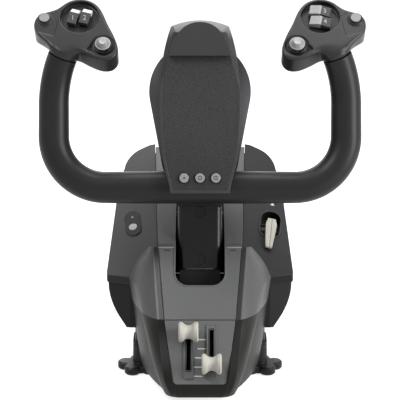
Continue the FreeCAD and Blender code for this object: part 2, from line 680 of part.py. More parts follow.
def casing(inset):
    """Teardrop head on a narrow column, in the wheel's frame."""
    def across(t):
        return -STANDOFF - t
    profile = outline([(66 - inset, -23 - inset, 16), (66 - inset, across(22) + inset, 22),
                       (-56, across(22) + inset, 20), (-113, across(-14) + inset, 6), (-113, across(-25) - inset),
                       (-66, -23 - inset, 26)])
    head = placed(slab(profile, -80, 80), Placement(Vector(0, 0, 0), Rotation(Vector(0, 1, 0), Vector(0, 0, 1),
                                                                            Vector(1, 0, 0), "XYZ")))
    head = head.common(slab(teardrop(inset), -150, 50))
    stem = slab(outline([(-COLUMN_HALF + inset, across(25) + inset, 8), (COLUMN_HALF - inset, across(25) + inset, 8),
                         (COLUMN_HALF - inset, across(-25) - inset, 8),
                         (-COLUMN_HALF + inset, across(-25) - inset, 8)]), 60, 180 + inset * 2,
                Rotation(Vector(1, 0, 0), Vector(0, 0, 1), Vector(0, -1, 0), "XYZ"))
    return head.fuse(stem)


def column_covers():
    shell = casing(0).cut(casing(WALL))
    shell = shell.cut(Part.makeCylinder(12.5, 60, Vector(0, 0, -40)))
    shell = shell.common(Part.makeBox(200, 260, 200, Vector(-100, -180, -150)))
    plugs = [rod(Vector(0, v, -STANDOFF + 10), Vector(0, v, -10), PLUG_RADIUS) for v in (-118.0, -170.0)]
    split = -STANDOFF + 8.0
    front = shell.common(Part.makeBox(200, 260, 200, Vector(-100, -180, split))).cut(Part.makeCompound(plugs))
    rear = shell.common(Part.makeBox(200, 260, 200, Vector(-100, -180, split - 200 - SHUT)))
    return placed(front, WHEEL), placed(rear, WHEEL)


def column_arm():
    """Steel arm from the pitch axle up to the roll bearings."""
    beam = Part.makeBox(30, COLUMN_REACH - 10, 26, Vector(-15, -COLUMN_REACH, -STANDOFF - 13))
    bore = Part.makeBox(24, COLUMN_REACH - 40, 20, Vector(-12, -COLUMN_REACH + 20, -STANDOFF - 10))
    barrel = Part.makeCylinder(18, 50, Vector(0, 0, -STANDOFF - 13))
    hub = rod(Vector(-20, -COLUMN_REACH, -STANDOFF), Vector(20, -COLUMN_REACH, -STANDOFF), 15.0)
    arm = beam.cut(bore).fuse(barrel).fuse(hub)
    arm = arm.cut(rod(Vector(-30, -COLUMN_REACH, -STANDOFF), Vector(30, -COLUMN_REACH, -STANDOFF), 10.0))
    return placed(arm.cut(Part.makeCylinder(14.0, 80, Vector(0, 0, -STANDOFF - 20))), WHEEL)


def pitch_bearings():
    rings = []
    for side in (-1, 1):
        start, end = Vector(side * 13, PIVOT_Y, PIVOT_Z), Vector(side * 20, PIVOT_Y, PIVOT_Z)
        rings.append(tube(start, end, 10.0, AXLE_RADIUS + RUN))
    return Part.makeCompound(rings)


def roll_bearings():
    rings = [placed(tube(Vector(0, 0, -STANDOFF + a), Vector(0, 0, -STANDOFF + a + 8), 14.0, ROLL_SHAFT + RUN), WHEEL)
             for a in (-13, 29)]
    return Part.makeCompound(rings)


def column_skirt():
    """Arched guard that rides under the slot, with a collar for the covers' foot."""
    radius = 66.0
    ring = rod(Vector(-24, -COLUMN_REACH, -STANDOFF), Vector(24, -COLUMN_REACH, -STANDOFF), radius)
    ring = ring.cut(rod(Vector(-30, -COLUMN_REACH, -STANDOFF), Vector(30, -COLUMN_REACH, -STANDOFF), radius - 2))
    reach = radius * math.tan(math.radians(32.0))
    wedge = Part.makePolygon([Vector(-40, -COLUMN_REACH, -STANDOFF), Vector(-40, -COLUMN_REACH + 90, -STANDOFF - 56),
                              Vector(-40, -COLUMN_REACH + 90, -STANDOFF + 56),
                              Vector(-40, -COLUMN_REACH, -STANDOFF)])
    arch = ring.common(Part.Face(wedge).extrude(Vector(80, 0, 0)))
    collar = Part.makeBox(44, 24, 44, Vector(-22, -COLUMN_REACH + 61, -STANDOFF - 22))
    skirt = arch.fuse(collar)
    skirt = skirt.cut(Part.makeBox(30, 60, 26, Vector(-15, -COLUMN_REACH + 40, -STANDOFF - 13)))
    return placed(skirt, WHEEL)


def column_plugs():
    plugs = []
    for v in (-118.0, -170.0):
        front = -STANDOFF + 25.0
        plugs.append(rod(Vector(0, v, front - 5), Vector(0, v, front - 0.6), PLUG_RADIUS))
    return placed(Part.makeCompound(plugs), WHEEL)


# ---------------------------------------------------------------- wheel
def wheel_path():
    """Right half of the wheel's centre line, from the middle of the bar to the horn's seam."""
    corner = WHEEL_HALF_WIDTH - BAR_CORNER
    low = -BAR_DROP
    turn = BAR_CORNER * (1 - math.sqrt(0.5))
    bar = Part.LineSegment(Vector(0, low, 0), Vector(corner, low, 0)).toShape()
    bend = Part.Arc(Vector(corner, low, 0), Vector(WHEEL_HALF_WIDTH - turn, low + turn, 0),
                    Vector(WHEEL_HALF_WIDTH, low + BAR_CORNER, 0)).toShape()
    upright = Part.LineSegment(Vector(WHEEL_HALF_WIDTH, low + BAR_CORNER, 0),
                               Vector(WHEEL_HALF_WIDTH, LEAN_START, 0)).toShape()
    lean = Part.Arc(lean_point(0), lean_point(LEAN_ANGLE / 2), lean_point(LEAN_ANGLE)).toShape()
    return bar, bend, upright, lean


LEAN_START = -5.0
LEAN_BEND = 104.0
LEAN_ANGLE = 28.7
LEAN_TURN = 39.0


def lean_point(angle):
    """Point on the bend that leans an upright inwards and towards the pilot."""
    along = LEAN_BEND * math.sin(math.radians(angle))
    off = LEAN_BEND * (1 - math.cos(math.radians(angle)))
    turn = math.radians(LEAN_TURN)
    return Vector(WHEEL_HALF_WIDTH - off * math.cos(turn), LEAN_START + along, off * math.sin(turn))


def lean_tangent(angle):
    a, turn = math.radians(angle), math.radians(LEAN_TURN)
    return Vector(-math.sin(a) * math.cos(turn), math.cos(a), math.sin(a) * math.sin(turn))


def wheel_bar():
    """One-piece tube: bar, bends and uprights, slimmer towards the horns."""
    spine = Part.Wire(list(wheel_path()))
    start = Part.Wire(Part.makeCircle(BAR_RADIUS, Vector(0, -BAR_DROP, 0), X_AXIS))
    end = Part.Wire(Part.makeCircle(GRIP_RADIUS, lean_point(LEAN_ANGLE), lean_tangent(LEAN_ANGLE)))
    half = spine.makePipeShell([start, end], True, False)
    half = Part.makeSolid(half) if half.ShapeType != "Solid" else half
    return placed(half.fuse(half.mirror(Vector(0, 0, 0), X_AXIS)).removeSplitter(), WHEEL)


def hub_outline(inset):
    """Front view of the hub: domed top, swelling sides, square foot."""
    points = [(31.0, -98.3), (34.3, -81.0), (36.9, -72.0), (40.6, -42.0), (41.9, -16.0), (41.4, 14.0), (38.5, 44.0),
              (30.4, 75.6)]
    right = [Vector(x - inset, y, 0) for x, y in points]
    right[0].y += inset
    right[-1].y -= inset
    left = [Vector(-p.x, p.y, 0) for p in reversed(right)]
    flank = Part.BSplineCurve()
    flank.interpolate(right)
    other = Part.BSplineCurve()
    other.interpolate(left)
    top = Part.Arc(right[-1], Vector(0, 82.6 - inset, 0), left[0])
    foot = Part.LineSegment(left[-1], right[0])
    return Part.Wire([foot.toShape(), flank.toShape(), top.toShape(), other.toShape()])


HUB_BACK = -19.0
HUB_FRONT = 24.0
BROW_V = 68.0             # the panel ends here, under the clip


def beyond(a, b, c):
    """Block on the far side of a plane through three points, away from the hub's middle."""
    normal = (b - a).cross(c - a).normalize()
    if normal.dot(a) < 0:
        normal = normal * -1.0
    across = (b - a).normalize()
    frame = Placement(a, Rotation(across, normal.cross(across), normal, "ZXY"))
    return placed(Part.makeBox(400, 400, 60, Vector(-200, -200, 0)), frame)


def hub_facets():
    """Cuts that slope the hub's brow and its two upper shoulders away from the pilot."""
    face = HUB_FRONT + 1.0
    brow = beyond(Vector(-20, BROW_V, face), Vector(20, BROW_V, face), Vector(0, 82.6, face - 11.0))
    cuts = [brow]
    for side in (-1, 1):
        cuts.append(beyond(Vector(side * 41.4, 12.0, face), Vector(side * 22.0, 77.0, face),
                           Vector(side * 30.4, 75.6, face - 8.5)))
    return Part.makeCompound(cuts)


def hub_shell():
    """Moulded tray of the hub; its brow is solid and faceted."""
    outer = slab(hub_outline(0), HUB_BACK, HUB_FRONT + 1.0).cut(hub_facets())
    rebate = slab(hub_outline(WALL), HUB_FRONT - 3.0, HUB_FRONT + 5)
    rebate = rebate.cut(Part.makeBox(200, 60, 60, Vector(-100, BROW_V + 1.0, -10)))
    cavity = slab(hub_outline(WALL + 2.5), HUB_BACK + WALL + 1, HUB_FRONT + 5)
    cavity = cavity.cut(Part.makeBox(200, 60, 100, Vector(-100, BROW_V - 6.0, -50)))
    shell = outer.cut(rebate).cut(cavity)
    shell = shell.cut(Part.makeBox(200, 60, 40, Vector(-100, -128, -38)))
    bar = rod(Vector(-100, -BAR_DROP, 0), Vector(100, -BAR_DROP, 0), BAR_RADIUS)
    shell = shell.cut(bar)
    return placed(shell.cut(Part.makeCylinder(ROLL_SHAFT, 60, Vector(0, 0, -40))), WHEEL)


def roll_shaft():
    shaft = Part.makeCylinder(ROLL_SHAFT, STANDOFF + 14 + HUB_BACK + WALL + 6, Vector(0, 0, -STANDOFF - 14))
    flange = Part.makeCylinder(20, 5, Vector(0, 0, HUB_BACK + WALL + 1))
    return placed(shaft.fuse(flange), WHEEL)


HUB_KEYS = (-16.5, 0.0, 16.5)


def hub_panel():
    """Textured front plate with three button holes and the clip's groove."""
    plate = slab(hub_outline(WALL + 0.3), HUB_FRONT - 2.9, HUB_FRONT + 1.0)
    plate = plate.cut(Part.makeBox(200, 60, 60, Vector(-100, BROW_V + 0.7, -10))).cut(hub_facets())
    for x in HUB_KEYS:
        plate = plate.cut(Part.makeCylinder(5.2, 20, Vector(x, -82.4, 10)))
    groove = Part.makeBox(30, 8, 4, Vector(-15, CLIP_V - 4, HUB_FRONT - 1.4))
    plate = plate.cut(groove)
    for side in (-1, 1):
        ear = Part.makeBox(3, 5, 3.8, Vector(side * 17 - 1.5, CLIP_V - 2.5, HUB_FRONT + 1.0))
        plate = plate.fuse(ear)
    pin = rod(Vector(-30, CLIP_V, CLIP_W), Vector(30, CLIP_V, CLIP_W), 1.0)
    return placed(plate.cut(pin), WHEEL)


CLIP_V = 64.0
CLIP_W = HUB_FRONT + 3.0


def clip_outline(inset):
    right = [Vector(32.2 - inset, 44.1 + inset, 0), Vector(29.6 - inset, 54.7, 0), Vector(25.0 - inset * 0.8, 64.0 - inset * 0.4, 0),
             Vector(14.2, 75.2 - inset, 0)]
    left = [Vector(-p.x, p.y, 0) for p in reversed(right)]
    dome = Part.BSplineCurve()
    dome.interpolate(right + [Vector(0, 79.0 - inset, 0)] + left)
    foot = Part.LineSegment(left[-1], right[0])
    return Part.Wire([foot.toShape(), dome.toShape()])


def chart_clip():
    """Sprung dome plate that pins paper to the panel by its lower edge."""
    low = HUB_FRONT + 3.0
    plate = slab(clip_outline(0), low, HUB_FRONT + 8.0)
    plate = plate.cut(slab(clip_outline(2.2), low - 5, HUB_FRONT + 5.6))
    lip = slab(outline([(-31.5, 44.4), (31.5, 44.4), (31.0, 47.0), (-31.0, 47.0)]), HUB_FRONT + 1.3, HUB_FRONT + 6)
    knuckle = rod(Vector(-14, CLIP_V, CLIP_W), Vector(14, CLIP_V, CLIP_W), 2.2)
    web = Part.makeBox(28, 3, 4, Vector(-14, CLIP_V - 1.5, CLIP_W))
    clip = plate.fuse(lip).fuse(knuckle).fuse(web)
    return placed(clip.cut(rod(Vector(-30, CLIP_V, CLIP_W), Vector(30, CLIP_V, CLIP_W), 1.0 + RUN)), WHEEL)


def clip_pin():
    return placed(rod(Vector(-18.5, CLIP_V, CLIP_W), Vector(18.5, CLIP_V, CLIP_W), 1.0), WHEEL)


def hub_button(x):
    cap = Part.makeCylinder(4.8, 8.8, Vector(x, -82.4, HUB_FRONT - 5.6))
    flange = Part.makeCylinder(6.2, 1.6, Vector(x, -82.4, HUB_FRONT - 5.4))
    return placed(cap.fuse(flange), WHEEL)


# ---------------------------------------------------------------- horns, drawn for the left one
def head_outline():
    """Face-on outline: ear on the outside, brow over the keys, drum round the hat."""
    points = [(-31, -36.5), (-38, -27.5), (-45, -19.5), (-47.8, -8.5), (-44.5, 1.5), (-36.5, 6.5), (-25, 11),
              (-14, 20), (0, 24), (14, 19.5), (23, 8), (29, -7), (35, -20), (39.8, -33), (41, -44), (36, -52), (26, -54),
              (15, -50), (5, -44.5), (-4, -41), (-14, -41), (-24, -40.5)]
    curve = Part.BSplineCurve()
    curve.interpolate([Vector(x, y, 0) for x, y in points], PeriodicFlag=True)
    return Part.Wire([curve.toShape()])


def oval(centre, normal, across, along):
    """Closed curve round a centre; its first half-axis lies as near the face's X axis as it can."""
    normal = normal.normalize()
    first = (X_AXIS - normal * X_AXIS.dot(normal)).normalize()
    second = normal.cross(first)
    turns = [math.radians(30 * i) for i in range(12)]
    curve = Part.BSplineCurve()
    curve.interpolate([centre + first * (across * math.cos(t)) + second * (along * math.sin(t)) for t in turns],
                      PeriodicFlag=True)
    return Part.Wire([curve.toShape()])


def tube_end():
    """The wheel tube's end, run on as far as it could reach into the head."""
    tip, along = left(lean_point(LEAN_ANGLE)), left(lean_tangent(LEAN_ANGLE))
    return placed(rod(tip - along * 60, tip, 40), FACE_LOCAL.inverse())


def neck():
    """Saddle from the wheel tube's round end up into the face."""
    in_face = FACE_LOCAL.inverse()
    tip = in_face.multVec(left(lean_point(LEAN_ANGLE)))
    along = in_face.Rotation.multVec(left(lean_tangent(LEAN_ANGLE)))
    rings = [oval(tip, along, GRIP_RADIUS, GRIP_RADIUS), oval(tip + along * 5, along, GRIP_RADIUS, GRIP_RADIUS),
             oval(tip + along * 13 + Vector(1, 0, 0), Vector(along.x, along.y, along.z + 0.5), 18.0, 16.5),
             oval(Vector(-10.0, -25.0, -0.7), Vector(0, 0, 1), 23.0, 15.5)]
    return Part.makeLoft(rings, True, False)


EAR = (-36.9, -3.0)
EAR_RADIUS = 5.7
EAR_SHELF = 1.0
HAT = (25.5, -36.5)
HAT_PIVOT = -9.0
HAT_TILT = 11.5           # lean of the pocket's floor
POCKET_RADIUS = 12.8
POCKET_DEPTH = 3.2


def hat_pocket():
    """Leaf-shaped cut whose floor leans out of the face at its lower edge."""
    x, y = HAT
    leaf = Part.makeCylinder(POCKET_RADIUS, 30, Vector(x, y, 0))
    tip = slab(outline([(x - 17.5, y - 4.5, 2.0), (x - 4, y - POCKET_RADIUS + 0.8), (x + 2, y + POCKET_RADIUS - 0.3),
                        (x - 6, y + POCKET_RADIUS - 2.2)]), 0, 30)
    leaf = leaf.fuse(tip)
    leaf.translate(Vector(-x, -y, 0))
    leaf.Placement = Placement(Vector(x, y, -POCKET_DEPTH), Rotation(X_AXIS, HAT_TILT)).multiply(leaf.Placement)
    return leaf


def horn_shell(key_places):
    """Head of a horn: face with a key well, a hat pocket and an ear, on a saddle-shaped neck."""
    head = slab(head_outline(), -HEAD_THICK, 0)
    head = head.makeFillet(2.8, [e for e in head.Edges if e.CenterOfMass.z > -0.1])
    head = head.makeFillet(4.0, [e for e in head.Edges if e.CenterOfMass.z < 0.1 - HEAD_THICK])
    head = head.cut(tube_end()).fuse(neck())
    shelf = outline([(-21, 3, 2), (-26, -25, 2), (-56, -16), (-56, 12), (-34, 12, 4)])
    head = head.cut(slab(shelf, -EAR_SHELF, 5))
    head = head.fuse(Part.makeCylinder(EAR_RADIUS + 2.0, 3.0, Vector(EAR[0], EAR[1], -2.2)))
    head = head.cut(Part.makeCylinder(WELL_RADIUS, WELL_DEPTH + 5, Vector(0, 0, -WELL_DEPTH)))
    head = head.cut(hat_pocket())
    head = head.fuse(Part.makeCylinder(HAT_RADIUS + 0.8, 3.5, Vector(HAT[0], HAT[1], -5.0)))
    head = head.cut(Part.makeCylinder(7.6, 20, Vector(HAT[0], HAT[1], -16)))
    head = head.cut(Part.makeCylinder(EAR_RADIUS + SLIP, 13, Vector(EAR[0], EAR[1], -6)))
    trunnion = rod(Vector(HAT[0] - 9.6, HAT[1], HAT_PIVOT), Vector(HAT[0] + 9.6, HAT[1], HAT_PIVOT), 1.2 + RUN)
    head = head.cut(trunnion)
    for x, y in key_places:
        head = head.cut(Part.makeCylinder(KEY_STEM + RUN, 10, Vector(x, y, -WELL_DEPTH - 6)))
    for side in (-1, 1):
        low = PADDLE_X + side * (PADDLE_HALF + 2.2) - 1.8
        lug = Part.makeBox(3.6, 7, 8, Vector(low, PADDLE_Y - 3.5, PADDLE_Z - 3))
        head = head.fuse(lug)
    pin = rod(Vector(PADDLE_X - 30, PADDLE_Y, PADDLE_Z), Vector(PADDLE_X + 30, PADDLE_Y, PADDLE_Z), 1.2 + RUN)
    return head.cut(pin)


PADDLE_X = -13.0
PADDLE_HALF = 9.0
PADDLE_Y = 8.0
PADDLE_Z = -HEAD_THICK - 3.4


def key(width, length, ridge, x, y, turn):
    """Key cap that rises from both ends to a ridge across it, on a round stem."""
    half = length / 2
    low = -WELL_DEPTH + KEY_TRAVEL + 0.4
    profile = outline([(-half, low), (half, low), (half, 0.4, 0.8), (ridge, 3.4, 0.8), (-half, 1.0, 0.8)])
    cap = slab(profile, -width / 2, width / 2, Rotation(Vector(1, 0, 0), Vector(0, 0, 1), Vector(0, -1, 0), "XYZ"))
    cap = cap.fuse(Part.makeCylinder(KEY_STEM, 6.0, Vector(0, 0, -WELL_DEPTH - 3.5)))
    cap.Placement = Placement(Vector(x, y, 0), Rotation(Vector(0, 0, 1), turn)).multiply(cap.Placement)
    return cap


def ear_button():
    """Round cap with a rounded rim."""
    cap = Part.makeCylinder(EAR_RADIUS, 7.4, Vector(EAR[0], EAR[1], -4.4))
    return cap.makeFillet(0.9, [e for e in cap.Edges if e.CenterOfMass.z > 2.9])


def hat_gimbal():
    ring = tube(Vector(HAT[0], HAT[1], HAT_PIVOT - 2), Vector(HAT[0], HAT[1], HAT_PIVOT + 2), 6.6, 4.6)
    pins = rod(Vector(HAT[0] - 9.3, HAT[1], HAT_PIVOT), Vector(HAT[0] + 9.3, HAT[1], HAT_PIVOT), 1.2)
    ring = ring.fuse(pins).cut(Part.makeCylinder(4.6, 20, Vector(HAT[0], HAT[1], -20)))
    return ring.cut(rod(Vector(HAT[0], HAT[1] - 8, HAT_PIVOT), Vector(HAT[0], HAT[1] + 8, HAT_PIVOT), 1.0 + RUN))


def hat():
    x, y = HAT
    stem = Part.makeCylinder(2.8, 14, Vector(x, y, HAT_PIVOT - 3))
    brim = Part.makeCylinder(HAT_RADIUS, 1.6, Vector(x, y, 1.6))
    crown = Part.makeCone(HAT_RADIUS - 0.6, 3.8, 4.0, Vector(x, y, 3.2))
    dish = Part.makeSphere(9, Vector(x, y, 7.2 + 8.4))
    pins = rod(Vector(x, y - 6.4, HAT_PIVOT), Vector(x, y + 6.4, HAT_PIVOT), 1.0)
    return stem.fuse(brim).fuse(crown).fuse(pins).cut(dish)


def paddle():
    """Curved trigger behind the head, on the side away from the pilot."""
    inner, outer = PADDLE_X - PADDLE_HALF, PADDLE_X + PADDLE_HALF
    plate = slab(outline([(inner, PADDLE_Y), (inner, 3), (inner - 6, -16, 7), (outer + 2, -22, 7), (outer, 3),
                          (outer, PADDLE_Y)]), PADDLE_Z - 2.4, PADDLE_Z)
    barrel = rod(Vector(inner, PADDLE_Y, PADDLE_Z), Vector(outer, PADDLE_Y, PADDLE_Z), 2.4)
    pins = rod(Vector(inner - 3.5, PADDLE_Y, PADDLE_Z), Vector(outer + 3.5, PADDLE_Y, PADDLE_Z), 1.2)
    return plate.fuse(barrel).fuse(pins)


def left(vector):
    return Vector(-vector.x, vector.y, vector.z)


FACE_LOCAL = Placement(FACE_CENTRE, Rotation(X_AXIS, -FACE_TILT))


save("lower_housing", lower_housing())
cover = side_cover()
save("right_side_cover", cover.cut(placed(slab(stadium(25.7, 42.1), -20, 5), GEAR)))
save("left_side_cover", mirrored(cover).cut(placed(slab(stadium(16.8, 36.8), -20, 5), POWER)))
save("spine_cover", spine_cover())
save("slot_liner", slot_liner())
save("rear_panel", rear_panel())
left_hood, right_hood, nose_cowl = build_nose()
save("left_hood", left_hood)
save("right_hood", right_hood)
save("nose_cowl", nose_cowl)
save("faceplate", faceplate())
save("throttle_panel", throttle_panel())
save("base_plate", base_plate())
save("desk_pad", desk_pad())
save("steel_frame", steel_frame())
save("pitch_axle", pitch_axle())
save("usb_socket", usb_socket())
save("control_board", control_board())
save("housing_screws", housing_screws())
save("clamp_jaw", clamp_jaw())
save("jaw_pad", jaw_pad())
save("left_clamp_screw", clamp_screw(-1))
save("right_clamp_screw", clamp_screw(1))
save("throttle_tracks", throttle_tracks())
for side, name in ((-1, "left"), (1, "right")):
    save(name + "_throttle_knob", throttle_knob(side))
    save(name + "_throttle_slider", throttle_slider(side))
save("power_button", power_button())
save("gear_well", gear_well())
save("gear_lever", gear_lever())
front_cover, rear_cover = column_covers()
save("column_front_cover", front_cover)
save("column_rear_cover", rear_cover)
save("column_arm", column_arm())
save("pitch_bearings", pitch_bearings())
save("roll_bearings", roll_bearings())
save("column_skirt", column_skirt())
save("column_plugs", column_plugs())
save("wheel_bar", wheel_bar())
save("hub_shell", hub_shell())
save("roll_shaft", roll_shaft())
save("hub_panel", hub_panel())
save("chart_clip", chart_clip())
save("clip_pin", clip_pin())
for x, name in zip(HUB_KEYS, ("left", "middle", "right")):
    save(name + "_hub_button", hub_button(x))
save("left_horn", placed(horn_shell(KEYS_ABREAST), FACE))
save("right_horn", mirrored(placed(horn_shell(KEYS_STACKED), FACE)))
pieces = {"ear_button": ear_button(), "hat_gimbal": hat_gimbal(), "hat": hat(),
          "paddle": paddle()}
for name, shape in pieces.items():
    fitted = placed(shape, FACE)
    save("left_" + name, fitted)
    save("right_" + name, mirrored(fitted))
for number, (x, y) in zip((1, 2), KEYS_ABREAST):
    save("left_key_%d" % number, placed(key(9.5, 18.5, 3.2, x, y, 74), FACE))
for number, (x, y) in zip((3, 4), KEYS_STACKED):
    save("right_key_%d" % number, mirrored(placed(key(11.0, 22.5, 1.0, x, y, 12), FACE)))
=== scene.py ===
import math

import bmesh
import bpy
import numpy as np
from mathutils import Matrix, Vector


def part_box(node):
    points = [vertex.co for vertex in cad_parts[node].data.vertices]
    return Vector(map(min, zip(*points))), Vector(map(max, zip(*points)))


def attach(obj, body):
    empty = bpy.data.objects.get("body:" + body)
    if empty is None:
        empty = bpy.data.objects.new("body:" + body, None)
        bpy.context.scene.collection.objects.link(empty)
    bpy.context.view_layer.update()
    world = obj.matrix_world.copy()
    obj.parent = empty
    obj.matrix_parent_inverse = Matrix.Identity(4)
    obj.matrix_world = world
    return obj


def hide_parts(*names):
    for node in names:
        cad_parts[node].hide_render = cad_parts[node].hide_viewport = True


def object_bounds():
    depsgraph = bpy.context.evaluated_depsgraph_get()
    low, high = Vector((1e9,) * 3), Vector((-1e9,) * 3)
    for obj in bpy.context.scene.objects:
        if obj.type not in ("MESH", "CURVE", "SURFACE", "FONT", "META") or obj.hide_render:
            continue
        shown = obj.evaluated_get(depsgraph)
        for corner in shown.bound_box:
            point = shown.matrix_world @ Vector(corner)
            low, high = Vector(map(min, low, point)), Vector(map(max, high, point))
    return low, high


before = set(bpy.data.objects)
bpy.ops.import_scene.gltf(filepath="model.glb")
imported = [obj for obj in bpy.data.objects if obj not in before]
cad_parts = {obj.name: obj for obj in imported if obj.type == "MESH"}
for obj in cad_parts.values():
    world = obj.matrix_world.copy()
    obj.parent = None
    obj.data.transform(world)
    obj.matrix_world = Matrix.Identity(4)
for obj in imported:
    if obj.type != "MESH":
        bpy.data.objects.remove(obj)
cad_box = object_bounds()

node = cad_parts

# ---------------------------------------------------------------- camera and studio
# The yoke is seen from straight in front, a little above its hub. It stands in a pale room
# whose floor its clamp knobs just reach, with a soft lamp high on the left and a strip on the right.
aim = Vector((0.0, -0.146, 0.1634))
eye = Vector((0.0, -1.788, 0.6033))
camera_data = bpy.data.cameras.new("camera")
camera_data.sensor_width = 36.0
camera_data.lens = 144.3


def linked(name, data):
    """A new object for a mesh, a lamp or other data, in the scene."""
    made = bpy.data.objects.new(name, data)
    bpy.context.collection.objects.link(made)
    return made


camera = linked("camera", camera_data)
camera.location = eye
camera.rotation_euler = (aim - eye).to_track_quat("-Z", "Y").to_euler()
scene = bpy.context.scene
scene.camera = camera
scene.view_settings.view_transform = "Standard"


def lamp(name, place, width, height, watts):
    """A soft white box at a place, facing the middle of the yoke."""
    data = bpy.data.lights.new(name, "AREA")
    data.shape = "RECTANGLE"
    data.size, data.size_y = width, height
    data.energy = watts
    light = linked(name, data)
    light.location = place
    middle = Vector((0, -0.1, 0.15))
    light.rotation_euler = (middle - Vector(place)).to_track_quat("-Z", "Y").to_euler()


lamp("key_lamp", (-0.95, -0.7, 1.5), 0.8, 0.7, 21)
lamp("strip_lamp", (1.3, -0.8, 0.65), 0.6, 1.4, 34)
lamp("top_lamp", (0.1, 0.1, 1.7), 1.3, 0.6, 20)
lamp("back_lamp", (-0.4, 1.6, 0.8), 1.2, 0.8, 7)


class Wire:
    """A shader socket that takes part in arithmetic: each operator adds one Math node."""

    def __init__(self, tree, socket=None):
        self.tree = tree
        self.socket = socket

    def node(self, kind, settings=None, inputs=None, output=0):
        """Any other node: its type, what is set on it first, and its sockets' values or wires."""
        made = self.tree.nodes.new("ShaderNode" + kind)
        for name, value in (settings or {}).items():
            setattr(made, name, value)
        for name, value in (inputs or {}).items():
            socket = made.inputs[name]
            if isinstance(value, Wire):
                self.tree.links.new(value.socket, socket)
            else:
                socket.default_value = value
        return Wire(self.tree, made.outputs[output])

    def math(self, operation, *terms, clamp=False):
        """A Math node on wires and numbers."""
        made = self.tree.nodes.new("ShaderNodeMath")
        made.operation = operation
        made.use_clamp = clamp
        for socket, term in zip(made.inputs, terms):
            if isinstance(term, Wire):
                self.tree.links.new(term.socket, socket)
            else:
                socket.default_value = term
        return Wire(self.tree, made.outputs[0])

    def __add__(self, other):
        return self.math("ADD", self, other)

    def __radd__(self, other):
        return self.math("ADD", other, self)

    def __sub__(self, other):
        return self.math("SUBTRACT", self, other)

    def __rsub__(self, other):
        return self.math("SUBTRACT", other, self)

    def __mul__(self, other):
        return self.math("MULTIPLY", self, other)

    def __rmul__(self, other):
        return self.math("MULTIPLY", other, self)

    def __abs__(self):
        return self.math("ABSOLUTE", self)

    def axis(self, index):
        """One coordinate of a place or a normal: 0 across, 1 deep, 2 high."""
        return self.node("SeparateXYZ", {}, {0: self}, index)

    def along(self, direction):
        """Distance of a place from the origin along a direction, which may be a wire too."""
        direction = direction if isinstance(direction, Wire) else tuple(direction)
        return self.node("VectorMath", {"operation": "DOT_PRODUCT"}, {0: self, 1: direction}, "Value")

    def step(self, start, end):
        """0 below start, 1 above end, smooth between."""
        return self.node("MapRange", {"interpolation_type": "SMOOTHSTEP"},
                         {"Value": self, "From Min": start, "From Max": end})


def new_material(name):
    """An empty material, its shader node and a wire to start its recipe from."""
    made = bpy.data.materials.new(name)
    made.use_nodes = True
    tree = made.node_tree
    shader = next(n for n in tree.nodes if n.type == "BSDF_PRINCIPLED")
    return made, shader, Wire(tree)


def feed(shader, **wires):
    """Link wires to the shader's sockets by name, underscores for spaces."""
    for name, wire in wires.items():
        socket = shader.inputs[name.replace("_", " ")]
        if isinstance(wire, Wire):
            wire.tree.links.new(wire.socket, socket)
        else:
            socket.default_value = wire


def seen_directly(start):
    """1 for what the camera sees, straight or in a reflection, and 0 for light that falls on the yoke."""
    path = start.tree.nodes.new("ShaderNodeLightPath")
    camera_ray, glossy, through = [Wire(start.tree, path.outputs[f"Is {kind} Ray"])
                                   for kind in ("Camera", "Glossy", "Transmission")]
    return start.math("ADD", camera_ray + glossy, through, clamp=True)


def white_room():
    """World: dim white light on the yoke, and plain white behind it for the camera and reflections."""
    room = bpy.data.worlds.new("room")
    scene.world = room
    room.use_nodes = True
    tree = room.node_tree
    dim = tree.nodes["Background"]
    dim.inputs["Color"].default_value = (1, 1, 1, 1)
    dim.inputs["Strength"].default_value = 0.13
    start = Wire(tree)
    backdrop = start.node("Background", {}, {"Color": (1, 1, 1, 1), "Strength": 1.0})
    mix = start.node("MixShader", {}, {0: seen_directly(start), 1: Wire(tree, dim.outputs[0]), 2: backdrop})
    tree.links.new(mix.socket, tree.nodes["World Output"].inputs["Surface"])


white_room()


def floor_card():
    """Matt white card, lifted to white for the camera so that only the shadow near the yoke shows."""
    made, shader, start = new_material("floor_card")
    feed(shader, Base_Color=(0.5, 0.5, 0.5, 1), Roughness=0.9, Specular_IOR_Level=0.1, Emission_Strength=1.0)
    place = start.node("TexCoord", output="Object")
    away = start.node("VectorMath", {"operation": "LENGTH"}, {0: place}, "Value")
    under_yoke = 0.76
    feed(shader, Emission_Color=seen_directly(start) * (under_yoke + away.step(0.25, 1.1) * (1 - under_yoke)))
    return made


def sheet_floor():
    """Square floor just under the clamp knobs."""
    half, low = 30.0, cad_box[0][2] - 0.0005
    corners = [(-half, -half, low), (half, -half, low), (half, half, low), (-half, half, low)]
    mesh = bpy.data.meshes.new("floor")
    mesh.from_pydata(corners, [], [(0, 1, 2, 3)])
    mesh.materials.append(floor_card())
    floor = linked("floor", mesh)


sheet_floor()

# ---------------------------------------------------------------- grips
# The wheel's tube is one moulding in two halves, welded along its middle plane and coated in
# matt soft-touch black. Hands polish it on the uprights, and its grain is finer than a hair.


def noise(place, scale, detail=2.0, roughness=0.5):
    """Noise of a scale per metre, from 0 to 1."""
    return place.node("TexNoise", {}, {"Vector": place, "Scale": scale, "Detail": detail,
                                       "Roughness": roughness})


def tinted(tint, tone):
    """A colour scaled by a wired tone."""
    return tone.node("VectorMath", {"operation": "SCALE"}, {0: tuple(tint), "Scale": tone})


def blend(share, low, high):
    """The low colour where the share is 0, the high one where it is 1."""
    return share.node("Mix", {"data_type": "RGBA"}, {0: share, 6: low, 7: high}, 2)


